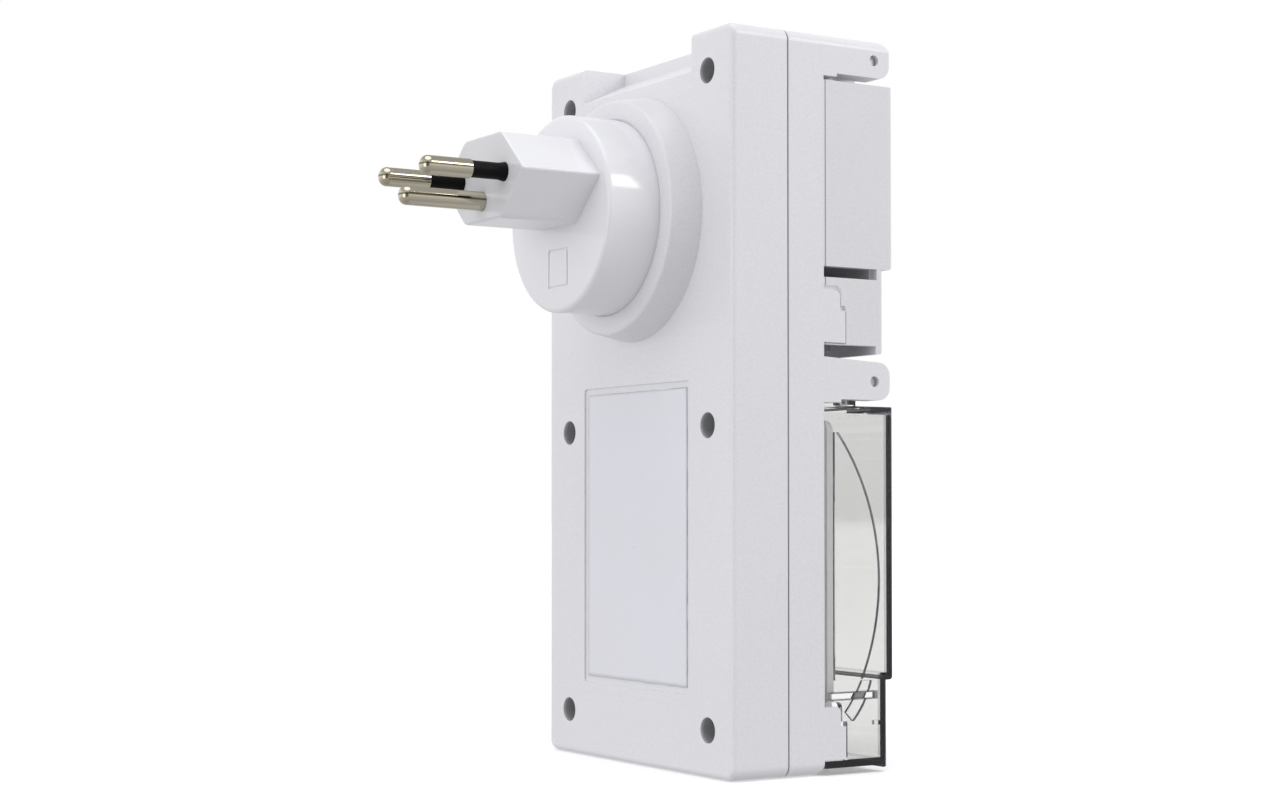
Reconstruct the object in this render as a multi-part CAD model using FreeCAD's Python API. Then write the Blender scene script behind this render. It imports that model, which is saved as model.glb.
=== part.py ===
import FreeCAD, Part
import math
import os

# Plug-in timer for a three-pin Swiss socket, in millimetres.
# Origin: the middle of the plug's end face, half way between the line and neutral pins.
# +Y runs out of the back along the pins, +Z is up, and the lids face -Y.

V = FreeCAD.Vector
AXIS_X = V(1, 0, 0)
AXIS_Y = V(0, 1, 0)

# Plug pins
pin_d = 4.0
pin_length = 19.0
pin_spacing = 19.0
earth_drop = 5.0
pin_tip_r = 1.6
pin_neck_d = 2.9
sleeve_length = 8.0
sleeve_d = 3.5
sleeve_flare = 1.4
pin_fit = 0.03
pin_relief = 0.3
pin_seat = 2.0
pin_collar_r = 2.6
pin_collar_t = 1.0
pin_stud = 2.0

# Plug body: a six-sided block on a round disc
hex_half_w = 17.65
hex_shoulder_x = 8.0
hex_top = 8.7
hex_bottom = 9.2
hex_length = 18.2
hex_crown_r = 3.2
hex_side_r = 0.6
hex_edge_r = 0.5
disc_r = 21.0
disc_drop = 6.4
disc_edge_r = 1.0
disc_floor = 3.0
disc_wall = 3.0
disc_flange_r = 25.4
disc_flange_t = 2.5
mark_half = 4.1
mark_drop = 11.5
mark_groove = 0.45
mark_depth = 0.3

# Case
body_w = 75.0
body_top = 30.3
body_h = 154.5
back_y = -37.5
seam_y = -51.4
front_y = -60.5
corner_r = 2.5
back_edge_r = 1.2
bottom_edge_r = 2.4
rear_wall = 2.4
front_wall = 2.2
seam_chamfer = 0.25

# Raised ring round the disc
ring_gap = 0.3
ring_r = 25.2
ring_root_r = 26.5
ring_h = 7.0
ring_edge_r = 0.7

# Notch in the top of the rear shell
notch_side = 5.9
notch_low = 8.0
notch_high = 2.7
notch_depth = 11.2
notch_wall = 2.0

# Label
recess_side = 6.7
recess_top = -42.2
recess_up = 16.4
recess_depth = 0.4
recess_r = 0.8
label_margin = 1.3
label_t = 0.15

# Case screws
screw_side = 9.2
screw_drop = 8.7
screw_middle = 9.6
screw_up = 9.7
screw_hole_r = 2.7
screw_seat_depth = 8.0
boss_r = 4.2
screw_head_r = 2.5
screw_head_h = 2.1
screw_shank_r = 1.25
screw_clear = 0.35
screw_pilot_gap = 0.05
screw_tip_gap = 0.8

# Shell gasket in the seam
gasket_inset = 0.75
gasket_w = 0.9
gasket_h = 1.0

# Hinge lugs and lids
lug_w = 5.0
lug_end_y = -77.8
lug_hole_r = 1.15
lug_r = 2.8
hinge_y = -73.8
hinge_drop = 4.4
hinge_display_z = -42.2
upper_lug_h = 8.1
lug_foot_h = 0.7
upper_lug_foot_y = -64.0
lower_lug_rise_back = 4.9
lower_lug_rise_front = 3.9
lower_lug_drop = 3.9
lower_lug_foot_y = -65.0
hinge_pin_r = 1.05
hinge_pin_inset = 1.0
knuckle_r = 3.0
knuckle_gap = 0.4
knuckle_root = 0.8
knuckle_clear = 0.08
spring_room = 5.6

# White socket lid
lid_top_gap = 5.3
socket_step_up = 23.8
socket_bottom_up = 7.5
socket_lip_up = 5.8
lid_face_y = -78.9
socket_lid_low_y = -76.3
socket_lid_wall = 2.2
lid_edge_r = 1.2
lid_top_r = 0.8
lid_lip_r = 1.6
lid_back_cut_y = -67.0
lid_slot_h = 2.3
lid_slot_end_y = -74.4
lid_relief_w = 14.0
cheek_t = 0.8
cheek_gap = 0.15
cheek_top_gap = 1.0
cheek_side_gap = 0.3

# Clear display lid
display_step_up = 19.1
display_bottom_up = 1.3
display_lip_up = 0.8
display_lid_low_y = -77.15
display_lid_wall = 1.5
display_slot_h = 1.2
display_slot_drop = 2.4
display_slot_end_y = -74.1
pad_t = 0.7
pad_back_y = -63.9
pad_top_y = -64.7
pad_top_drop = 10.8
pad_bulge_gap = 1.8
pad_bulge_up = 21.1
pad_low_y = -71.0
pad_low_gap = 0.3
rib_w = 2.4
rib_bow_out = 0.65
rib_bow_in = 0.25
rib_side = 0.35
rib_foot_up = 1.75
rib_foot_w = 1.9
nib_up = 10.1
nib_w = 1.2
nib_h = 0.9

# Side cheeks on the front shell, the tabs that the lids close over
cheek_h = 10.9
cheek_step_h = 6.75
cheek_first = 4.2
cheek_second = 1.35
cheek_upper_up = 7.9
cheek_lower_up = 3.1
cheek_r = 1.3

# Socket outlet under the white lid
outlet_z = -6.4
outlet_r = 20.5
outlet_gap = 0.3
outlet_face_y = -73.1
recess_clear = 0.5
outlet_recess = 10.0
outlet_floor = 3.0
outlet_hole_r = 2.25
outlet_rim = 2.2
carrier_fit = 0.05
outlet_post_h = 4.0
outlet_post_r = 2.4
outlet_post_x = 21.5
outlet_post_up = 17.5
outlet_plate_t = 2.0
outlet_plate_margin = 3.2
outlet_block_half_w = 15.0
outlet_block_top = 5.5
outlet_block_bottom = 10.5
outlet_block_end_y = -46.1
cell_half = 3.6
contact_r = 2.05
contact_t = 0.5
contact_slit = 1.0
contact_foot = 3.9
contact_lead_in = 0.1
outlet_edge_r = 0.8
seal_w = 1.2
seal_h = 1.8
seal_gap = 0.35
seal_r = 2.0

# Copper links between the pins, the board and the outlet
link_t = 1.0
link_half_w = 2.5
link_side_x = 16.2
link_low_z = -4.5
link_high_z = 0.5
link_out_x = 18.7
link_load_half = 1.9
link_ring_half = 3.4
link_lap = 4.2
earth_turn_z = -16.0

# Control panel under the clear lid
panel_side_gap = 1.2
panel_drop = 8.2
panel_up = 4.3
panel_face_y = -65.3
panel_wall = 1.6
panel_r = 2.5
panel_edge_r = 0.8
module_side = 4.3
module_drop = 6.0
module_up = 10.1
module_r = 2.0
panel_screw_x = 18.0
panel_screw_drop = 2.9
panel_screw_up = 5.4
small_post_r = 2.1
small_head_r = 1.8
small_head_h = 1.2
small_shank_r = 0.9
small_pilot_gap = 0.04
fascia_t = 0.2
fascia_margin = 1.6
window_half_w = 17.5
window_top_share = 0.138
window_bottom_share = 0.426
window_lap = 1.0
window_t = 0.8
window_gap = 0.1

# Keys
key_pitch_share = 0.6
upper_key_share = 0.5625
lower_key_share = 0.7135
key_w = 11.0
key_h = 5.6
key_r = 1.4
key_rise = 1.5
key_edge_r = 0.5
reset_sink = 0.6
key_gap = 0.25
key_lip = 1.1
key_lip_t = 0.8
key_rest_gap = 0.1
key_travel = 0.6
key_names = ["clock", "programme", "manual", "minus", "plus", "random"]
reset_r = 1.5
reset_gap = 0.3

# Boards
board_t = 1.6
control_board_gap = 0.5
control_board_front_y = -60.9
control_screw_side = 2.7
control_screw_drop = 2.4
control_screw_up = 2.3
board_screw_l = 3.85
mat_t = 0.5
dome_r = 2.8
dome_top_r = 2.2
mat_margin = 1.5
reset_dome_r = 1.5
reset_dome_top_r = 1.1
lcd_side = 2.0
lcd_lap = 1.3
lcd_t = 1.8
lcd_face_gap = 0.2
lcd_fit = 0.05
lcd_ledge = 1.2
lcd_frame_w = 1.2
zebra_w = 1.6
chip_w = 10.0
chip_t = 1.4
chip_share = 0.212
crystal_r = 1.0
crystal_length = 6.0
crystal_x = 12.0
cell_r = 7.8
cell_h = 5.6
cell_share = 0.651
clip_t = 0.4
clip_w = 5.0

power_board_gap = 0.7
power_board_drop = 4.6
power_board_up = 6.7
post_h = 2.6
post_r = 2.4
power_screw_side = 4.1
power_screw_drop = 7.7
power_screw_up = 4.0
parts_gap = 0.8
relay_w = 28.0
relay_d = 12.4
relay_h = 12.7
film_w = 18.0
film_d = 8.5
film_h = 8.5
case_edge_r = 0.6
electro_r = 5.0
electro_h = 12.0
varistor_r = 4.5
varistor_t = 3.6
lead_r = 0.4
lead_rise = 1.2
lead_out = 2.0
lead_gap = 0.4
fuse_r = 2.6
fuse_length = 20.0
fuse_cap = 5.0
fuse_glass_r = 2.35
fuse_clip_w = 2.0
fuse_clip_half = 3.0
resistor_r = 2.2
resistor_length = 12.0
diode_r = 1.3
diode_length = 5.0
diode_pitch = 3.4
diode_count = 4
header_half_w = 9.0
header_w = 2.5
header_base = 2.5
header_up = 1.7
header_pins = 8
header_pin_half = 0.32

# Torsion springs on the hinge pins
spring_wire_r = 0.3
spring_r = 1.95
spring_pitch = 1.12
spring_turns = 3.75
spring_arcs_per_turn = 4
spring_end_gap = 0.3
spring_side_gap = 0.4
spring_bend_r = 0.9
spring_foot = 3.6

# Values worked out from the ones above
half_w = body_w / 2
body_bottom = body_top - body_h
screw_x = half_w - screw_side
screw_rows = [body_top - screw_drop, hinge_display_z - screw_middle, body_bottom + screw_up]
notch_half_w = screw_x - notch_side
notch_low_z = body_top - notch_low
notch_high_z = body_top - notch_high
recess_half_w = screw_x - recess_side
recess_bottom = body_bottom + recess_up
pin_r = pin_d / 2
pin_neck_r = pin_neck_d / 2
disc_face_y = -hex_length
disc_floor_y = disc_face_y - disc_floor
disc_bore_r = disc_r + ring_gap
ring_face_y = back_y + ring_h
rear_inner_y = back_y - rear_wall
front_inner_y = front_y + front_wall
disc_seat_y = rear_inner_y
disc_end_y = disc_seat_y - disc_flange_t
flange_screw_r = (disc_bore_r + ring_r) / 2
screw_seat_y = back_y - screw_seat_depth
lug_in_x = half_w - lug_w
hinge_socket_z = body_top - hinge_drop
upper_lug_bottom = body_top - upper_lug_h
upper_lug_foot = upper_lug_bottom - lug_foot_h
lower_lug_top_back = hinge_display_z + lower_lug_rise_back
lower_lug_top_front = hinge_display_z + lower_lug_rise_front
lower_lug_bottom = hinge_display_z - lower_lug_drop
lower_lug_foot = lower_lug_bottom - lug_foot_h
socket_lid_step = hinge_display_z + socket_step_up
socket_lid_bottom = hinge_display_z + socket_bottom_up
socket_lid_lip = hinge_display_z + socket_lip_up
display_lid_step = body_bottom + display_step_up
display_lid_bottom = body_bottom + display_bottom_up
display_lid_lip = body_bottom + display_lip_up
display_slot_top = display_lid_step - display_slot_drop
nib_z = body_bottom + nib_up
cheek_upper_z = hinge_display_z + cheek_upper_up
cheek_lower_z = body_bottom + cheek_lower_up
outlet_floor_y = outlet_face_y + outlet_recess
outlet_back_y = outlet_floor_y + outlet_floor
outlet_plate_y = front_inner_y + outlet_post_h
outlet_plate_back_y = outlet_plate_y + outlet_plate_t
power_board_back_y = rear_inner_y - post_h
power_board_front_y = power_board_back_y - board_t
link_y = power_board_front_y - link_t
power_board_half_w = screw_x - boss_r - power_board_gap
power_board_top = hinge_display_z - power_board_drop
power_board_bottom = body_bottom + power_board_up
power_screw_x = power_board_half_w - power_screw_side
power_screw_rows = [power_board_top - power_screw_drop, power_board_bottom + power_screw_up]
link_end_z = power_board_top - link_lap
panel_half_w = half_w - display_lid_wall - pad_t - panel_side_gap
panel_top = hinge_display_z - panel_drop
panel_bottom = body_bottom + panel_up
panel_h = panel_top - panel_bottom
panel_screw_rows = [panel_top - panel_screw_drop, panel_bottom + panel_screw_up]
module_half_w = panel_half_w - module_side
module_top = panel_top - module_drop
module_bottom = panel_bottom + module_up
window_top = panel_top - window_top_share * panel_h
window_bottom = panel_top - window_bottom_share * panel_h
key_pitch = key_pitch_share * module_half_w
key_columns = [-key_pitch, 0.0, key_pitch]
key_rows = [panel_top - upper_key_share * panel_h, panel_top - lower_key_share * panel_h]
reset_x = key_pitch + key_w / 2 + 2 * key_lip + reset_r + reset_gap
reset_z = (key_rows[0] + key_rows[1]) / 2
lcd_half_w = window_half_w + lcd_side
lcd_top = window_top + lcd_lap
lcd_bottom = window_bottom - lcd_lap
panel_inner_y = panel_face_y + panel_wall
control_board_back_y = control_board_front_y + board_t
control_half_w = module_half_w - control_board_gap
control_screw_x = control_half_w - control_screw_side
control_top = module_top - control_board_gap
control_bottom = module_bottom + control_board_gap
control_h = control_top - control_bottom
control_screw_rows = [control_top - control_screw_drop, control_bottom + control_screw_up]
chip_z = control_top - chip_share * control_h
cell_z = control_top - cell_share * control_h
header_z = control_bottom + header_up
key_face_y = panel_face_y - key_rise
key_lip_y = panel_inner_y + key_rest_gap
key_back_y = key_lip_y + key_lip_t
mat_face_y = control_board_front_y - mat_t
dome_top_y = key_back_y + key_travel + key_rest_gap
line_x = pin_spacing / 2
panel_pilot_y = (panel_face_y + panel_inner_y) / 2
lcd_face_y = panel_inner_y + lcd_face_gap
lcd_back_y = lcd_face_y + lcd_t
pin_collar_y = disc_floor_y - pin_collar_t


def box(x0, x1, y0, y1, z0, z1):
    """A box between two corners."""
    return Part.makeBox(x1 - x0, y1 - y0, z1 - z0, V(x0, y0, z0))


def rod_y(r, y0, y1, x=0.0, z=0.0):
    """A cylinder along Y, from the lower y to the higher."""
    return Part.makeCylinder(r, y1 - y0, V(x, y0, z), AXIS_Y)


def rod_x(r, x0, x1, y, z):
    """A cylinder along X, from the lower x to the higher."""
    return Part.makeCylinder(r, x1 - x0, V(x0, y, z), AXIS_X)


def rounded_wire(points, radii):
    """A closed wire through 3-D corner points, each corner rounded by its radius."""
    n = len(points)
    starts = []
    ends = []
    mids = []
    for i in range(n):
        p = points[i]
        a = (points[i - 1] - p).normalize()
        b = (points[(i + 1) % n] - p).normalize()
        half = a.getAngle(b) / 2
        r = radii[i]
        reach = r / math.tan(half)
        starts.append(p + a * reach)
        ends.append(p + b * reach)
        inward = (a + b).normalize()
        mids.append(p + inward * (r / math.sin(half) - r))
    edges = []
    for i in range(n):
        if radii[i] > 0:
            edges.append(Part.Arc(starts[i], mids[i], ends[i]).toShape())
        step = starts[(i + 1) % n]
        if (step - ends[i]).Length > 1e-6:
            edges.append(Part.LineSegment(ends[i], step).toShape())
    return Part.Wire(edges)


def extrude(points, radii, along):
    """A solid from a closed outline with rounded corners, pushed along a vector."""
    return Part.Face(rounded_wire(points, radii)).extrude(along)


def plate_y(x0, x1, z0, z1, r, y0, y1):
    """A plate in the XZ plane with rounded corners, from y0 to y1."""
    corners = [V(x0, y0, z0), V(x1, y0, z0), V(x1, y0, z1), V(x0, y0, z1)]
    return extrude(corners, [r] * 4, V(0, y1 - y0, 0))


def slab_x(outline, x0, x1):
    """A slab from a YZ outline given as (y, z, corner radius), from x0 to x1."""
    points = [V(x0, y, z) for y, z, r in outline]
    return extrude(points, [r for y, z, r in outline], V(x1 - x0, 0, 0))


def turned(profile, x=0.0, z=0.0):
    """A body of revolution about a Y axis from corners given as (radius, y, corner radius)."""
    points = [V(r, y, 0) for r, y, c in profile]
    face = Part.Face(rounded_wire(points, [c for r, y, c in profile]))
    body = face.revolve(V(0, 0, 0), AXIS_Y, 360)
    body.translate(V(x, 0, z))
    return body


def joined(shapes):
    """One solid out of overlapping or touching shapes."""
    whole = shapes[0].fuse(shapes[1:])
    return whole.removeSplitter()


def both_sides(shape):
    """The shape and its mirror image across the middle plane."""
    return [shape, shape.mirror(V(0, 0, 0), AXIS_X)]


def save(name, shape):
    """Write one node after checking that it holds only valid closed solids."""
    solids = shape.Solids
    assert solids and shape.isValid(), name
    whole = solids[0] if len(solids) == 1 else Part.makeCompound(solids)
    whole.exportStep("parts/" + name + ".step")


def hexagon(grow, y0, y1, z=0.0):
    """The six-sided plug outline, grown by a clearance all round."""
    w = hex_half_w + grow
    s = hex_shoulder_x + grow * 0.5
    top = z + hex_top + grow
    low = z - hex_bottom - grow
    points = [V(-w, y0, z), V(-s, y0, low), V(s, y0, low), V(w, y0, z), V(s, y0, top), V(-s, y0, top)]
    radii = [hex_side_r, hex_crown_r, hex_crown_r, hex_side_r, hex_crown_r, hex_crown_r]
    return extrude(points, radii, V(0, y1 - y0, 0))


def pin(sleeved):
    """A turned contact pin: domed tip, a thinner neck further in, collar and rivet stud inside."""
    if sleeved:
        shoulder = [(pin_r, sleeve_length, 0), (pin_neck_r, sleeve_length, 0)]
    else:
        seat_r = pin_r - pin_relief
        shoulder = [(pin_r, 0, 0), (seat_r, 0, 0), (seat_r, -pin_seat, 0), (pin_neck_r, -pin_seat, 0)]
    profile = [
        (0, pin_length, 0),
        (pin_r, pin_length, pin_tip_r),
    ] + shoulder + [
        (pin_neck_r, disc_floor_y, 0),
        (pin_collar_r, disc_floor_y, 0),
        (pin_collar_r, pin_collar_y, 0),
        (pin_neck_r, pin_collar_y, 0),
        (pin_neck_r, pin_collar_y - pin_stud, 0),
        (0, pin_collar_y - pin_stud, 0),
    ]
    return turned(profile)


def pin_sleeve():
    """The insulating sleeve on a live pin, a little wider where it enters the plug body."""
    inner = pin_neck_r + pin_fit
    outer = sleeve_d / 2
    profile = [
        (inner, sleeve_length, 0),
        (outer, sleeve_length, 0),
        (outer, sleeve_flare, 0),
        (pin_r, 0, 0),
        (pin_r, -pin_seat, 0),
        (inner, -pin_seat, 0),
    ]
    return turned(profile)


def pin_places():
    """Where the line, neutral and earth pins stand, as x and z."""
    return {"line": (line_x, 0.0), "neutral": (-line_x, 0.0), "earth": (0.0, -earth_drop)}


def plug_insert():
    """The moulded plug body: six-sided block, round disc and hidden flange, hollow behind."""
    disc = turned([
        (0, disc_face_y, 0),
        (disc_r, disc_face_y, disc_edge_r),
        (disc_r, disc_seat_y, 0),
        (disc_flange_r, disc_seat_y, 0),
        (disc_flange_r, disc_end_y, 0),
        (disc_r - disc_wall, disc_end_y, 0),
        (disc_r - disc_wall, disc_floor_y, 0),
        (0, disc_floor_y, 0),
    ], z=-disc_drop)
    block = hexagon(0, disc_face_y, 0)
    end_edges = [e for e in block.Edges if abs(e.BoundBox.YMin) < 1e-6 and abs(e.BoundBox.YMax) < 1e-6]
    block = block.makeFillet(hex_edge_r, end_edges)
    whole = joined([disc, block])
    for x, z in pin_places().values():
        whole = whole.cut(rod_y(pin_neck_r + pin_fit, disc_floor_y, 0, x, z))
        whole = whole.cut(rod_y(pin_r + pin_fit, -pin_seat, 0, x, z))
    for x, z in flange_screw_places():
        whole = whole.cut(rod_y(small_shank_r + screw_clear, disc_end_y, disc_seat_y, x, z))
    mark_z = -disc_drop - mark_drop
    outer = plate_y(-mark_half, mark_half, mark_z - mark_half, mark_z + mark_half, 0.3,
                    disc_face_y - mark_depth, disc_face_y)
    inside = mark_half - mark_groove
    inner = plate_y(-inside, inside, mark_z - inside, mark_z + inside, 0.2,
                    disc_face_y - mark_depth, disc_face_y)
    return whole.cut(outer.cut(inner))


def flange_screw_places():
    """Three screws that hold the plug body in the ring, as x and z."""
    places = []
    for k in range(3):
        a = math.radians(90 + 120 * k)
        places.append((flange_screw_r * math.cos(a), -disc_drop + flange_screw_r * math.sin(a)))
    return places


def screw(head_r, head_h, shank_r, seat_y, tip_y, x, z, sign):
    """A pan-head screw on a Y axis with a cross slot; its head stands on the side of sign."""
    head_y = seat_y + sign * head_h
    low, high = min(seat_y, head_y), max(seat_y, head_y)
    head = rod_y(head_r, low, high, x, z)
    shank = rod_y(shank_r, min(seat_y, tip_y), max(seat_y, tip_y), x, z)
    whole = joined([head, shank])
    deep = head_h * 0.55
    slot_low = head_y - deep if sign > 0 else head_y
    arm = head_r * 0.62
    thin = head_r * 0.15
    for half_x, half_z in ((arm, thin), (thin, arm)):
        whole = whole.cut(box(x - half_x, x + half_x, slot_low, slot_low + deep, z - half_z, z + half_z))
    return whole


def case_block(y0, y1):
    """The case's outline as a solid between two planes."""
    return plate_y(-half_w, half_w, body_bottom, body_top, corner_r, y0, y1)


def inset_block(wall, y0, y1):
    """The case's outline drawn in by a wall thickness."""
    r = max(corner_r - wall, 0.5)
    return plate_y(-half_w + wall, half_w - wall, body_bottom + wall, body_top - wall, r, y0, y1)


def notch_block(grow):
    """The notch in the top edge with its ramped floor, grown by a wall thickness."""
    slope = (notch_high_z - notch_low_z) / notch_depth
    drop = grow * math.sqrt(1 + slope * slope)
    wall_y = back_y - notch_depth - grow
    over = 1.0
    outline = [
        (back_y + over, notch_low_z - slope * over - drop, 0),
        (wall_y, notch_high_z + slope * grow - drop, 0),
        (wall_y, body_top + over, 0),
        (back_y + over, body_top + over, 0),
    ]
    return slab_x(outline, -notch_half_w - grow, notch_half_w + grow)


def seam_edges(block, y):
    """The edges of a block that lie in the plane at y."""
    return [e for e in block.Edges if abs(e.BoundBox.YMin - y) < 1e-6 and abs(e.BoundBox.YMax - y) < 1e-6]


def screw_places():
    """The six case screws, as x and z."""
    return [(x, z) for z in screw_rows for x in (-screw_x, screw_x)]


def gasket_ring(y0, y1):
    """The ring in the seam that seals the two shells."""
    outer = inset_block(gasket_inset, y0, y1)
    inner = inset_block(gasket_inset + gasket_w, y0, y1)
    return outer.cut(inner)


def rear_shell():
    """The back half of the case with its raised ring, top notch and label recess."""
    block = case_block(seam_y, back_y)
    block = block.makeFillet(back_edge_r, seam_edges(block, back_y))
    block = block.makeChamfer(seam_chamfer, seam_edges(block, seam_y))
    ring = turned([
        (disc_bore_r, ring_face_y, 0),
        (ring_r, ring_face_y, ring_edge_r),
        (ring_root_r, back_y, 0),
        (ring_root_r, rear_inner_y, 0),
        (disc_bore_r, rear_inner_y, 0),
    ], z=-disc_drop)
    hollow = inset_block(rear_wall, seam_y, rear_inner_y).cut(notch_block(notch_wall))
    shell = block.cut([hollow, notch_block(0), rod_y(disc_bore_r, rear_inner_y, back_y, 0, -disc_drop)])
    bosses = [rod_y(boss_r, seam_y, rear_inner_y, x, z) for x, z in screw_places()]
    posts = [rod_y(post_r, power_board_back_y, rear_inner_y, x, z) for x, z in power_screw_places()]
    shell = joined([shell, ring] + bosses + posts)
    cuts = []
    for x, z in screw_places():
        cuts.append(rod_y(screw_hole_r, screw_seat_y, back_y, x, z))
        cuts.append(rod_y(screw_shank_r + screw_clear, seam_y, screw_seat_y, x, z))
    for x, z in flange_screw_places():
        pilot_y = ring_face_y - 2 * ring_edge_r
        cuts.append(rod_y(small_shank_r + small_pilot_gap, rear_inner_y, pilot_y, x, z))
    for x, z in power_screw_places():
        cuts.append(rod_y(small_shank_r + small_pilot_gap, power_board_back_y, rear_inner_y, x, z))
    cuts.append(plate_y(-recess_half_w, recess_half_w, recess_bottom, recess_top, recess_r,
                        back_y - recess_depth, back_y))
    cuts.append(gasket_ring(seam_y, seam_y + gasket_h))
    return shell.cut(cuts)


def lug_solids():
    """The four hinge lugs, as wide as the case and rounded at their ends."""
    upper = [
        (front_y, upper_lug_foot, 0),
        (upper_lug_foot_y, upper_lug_foot, 0),
        (upper_lug_foot_y, upper_lug_bottom, 0),
        (lug_end_y, upper_lug_bottom, lug_r),
        (lug_end_y, body_top, lug_r),
        (front_y, body_top, 0),
    ]
    lower = [
        (front_y, lower_lug_foot, 0),
        (lower_lug_foot_y, lower_lug_foot, 0),
        (lower_lug_foot_y, lower_lug_bottom, 0),
        (lug_end_y, lower_lug_bottom, lug_r),
        (lug_end_y, lower_lug_top_front, lug_r),
        (front_y, lower_lug_top_back, 0),
    ]
    outline = case_block(lug_end_y, front_y)
    lugs = []
    for profile, axis_z in ((upper, hinge_socket_z), (lower, hinge_display_z)):
        lug = slab_x(profile, -half_w, -lug_in_x).common(outline)
        lug = lug.cut(rod_x(lug_hole_r, -half_w, -lug_in_x, hinge_y, axis_z))
        lugs.extend(both_sides(lug))
    return lugs


def cheek(bottom, grow_front=0.0, grow_top=0.0, grow_bottom=0.0):
    """The YZ outline of a stepped side cheek, grown for the lid's cut-out round it."""
    low = bottom - grow_bottom
    step = bottom + cheek_step_h + grow_top
    top = bottom + cheek_h + grow_top
    first_y = front_y - cheek_first - grow_front
    second_y = first_y - cheek_second
    return [
        (front_y, low, 0),
        (second_y, low, 0),
        (second_y, step, 0),
        (first_y, step, 0),
        (first_y, top, cheek_r),
        (front_y, top, 0),
    ]


def outlet_post_places():
    """The four posts that carry the outlet, as x and z."""
    return [(x, outlet_z + s * outlet_post_up) for s in (-1, 1) for x in (-outlet_post_x, outlet_post_x)]


def panel_screw_places():
    """The screws that hold the control panel on the front shell."""
    return [(x, z) for z in panel_screw_rows for x in (-panel_screw_x, panel_screw_x)]


def control_screw_places():
    """The screws that hold the control board in the panel."""
    return [(x, z) for z in control_screw_rows for x in (-control_screw_x, control_screw_x)]


def power_screw_places():
    """The screws that hold the power board in the rear shell."""
    return [(x, z) for z in power_screw_rows for x in (-power_screw_x, power_screw_x)]


def front_shell():
    """The front half of the case with its hinge lugs, side cheeks and two openings."""
    block = case_block(front_y, seam_y)
    block = block.makeChamfer(seam_chamfer, seam_edges(block, seam_y))
    side_outline = [(front_y, body_bottom, bottom_edge_r), (front_y, body_top, 0),
                    (seam_y, body_top, 0), (seam_y, body_bottom, 0)]
    block = block.common(slab_x(side_outline, -half_w, half_w))
    hollow = inset_block(front_wall, front_inner_y, seam_y)
    shell = block.cut(hollow)
    bosses = [rod_y(boss_r, front_inner_y, seam_y, x, z) for x, z in screw_places()]
    posts = [rod_y(outlet_post_r, front_inner_y, outlet_plate_y, x, z) for x, z in outlet_post_places()]
    cheeks = []
    for bottom in (cheek_upper_z, cheek_lower_z):
        cheeks.extend(both_sides(slab_x(cheek(bottom), -half_w, -half_w + cheek_t)))
    shell = joined([shell] + bosses + posts + lug_solids() + cheeks)
    cuts = [rod_y(outlet_r + outlet_gap, front_y, front_inner_y, 0, outlet_z)]
    cuts.append(plate_y(-module_half_w, module_half_w, module_bottom, module_top, module_r,
                        front_y, front_inner_y))
    for x, z in screw_places():
        tip_y = front_inner_y + screw_tip_gap
        cuts.append(rod_y(screw_shank_r + screw_pilot_gap, tip_y - screw_pilot_gap, seam_y, x, z))
    for x, z in outlet_post_places():
        cuts.append(rod_y(small_shank_r + small_pilot_gap, front_inner_y, outlet_plate_y, x, z))
    for x, z in panel_screw_places():
        cuts.append(rod_y(small_shank_r + screw_clear, front_y, front_inner_y, x, z))
    return shell.cut(cuts)


def lid(top, step, bottom, lip, low_y, wall):
    """A hinged lid: a deep upper part, a shallower lower part and an open back."""
    upper = [
        (front_y, top, 0),
        (front_y, step, 0),
        (lid_face_y, step, lid_lip_r),
        (lid_face_y, top, lid_top_r),
    ]
    lower = [
        (front_y, step + wall, 0),
        (front_y, bottom, 0),
        (low_y + wall, bottom, 0),
        (low_y + wall, lip, 0),
        (low_y, lip, 0.6 * wall),
        (low_y, step + wall, 0),
    ]
    parts = []
    for outline, face_y in ((upper, lid_face_y), (lower, low_y)):
        z_low = min(corner[1] for corner in outline)
        z_high = max(corner[1] for corner in outline)
        plan = [V(-half_w, front_y, z_low), V(-half_w, face_y, z_low), V(half_w, face_y, z_low),
                V(half_w, front_y, z_low)]
        body = extrude(plan, [0, lid_edge_r, lid_edge_r, 0], V(0, 0, z_high - z_low))
        parts.append(slab_x(outline, -half_w, half_w).common(body))
    in_x = half_w - wall
    hollow_upper = box(-in_x, in_x, lid_face_y + wall, front_y, step + wall, top - wall)
    hollow_lower = box(-in_x, in_x, low_y + wall, front_y, bottom + wall, step + 2 * wall)
    back_cut = box(-in_x, in_x, lid_back_cut_y, front_y, top - wall, top)
    return joined(parts).cut([hollow_upper, hollow_lower, back_cut])


def knuckle(axis_z, top):
    """The lid's hinge barrel and the web that joins it to the lid's top edge."""
    x0 = -lug_in_x + spring_room
    x1 = lug_in_x - knuckle_gap
    barrel = rod_x(knuckle_r, x0, x1, hinge_y, axis_z)
    web = box(x0, x1, hinge_y - knuckle_r, hinge_y + knuckle_r, top - knuckle_root, axis_z)
    bore = rod_x(hinge_pin_r + knuckle_clear, x0, x1, hinge_y, axis_z)
    return joined([barrel, web]).cut(bore)


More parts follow.
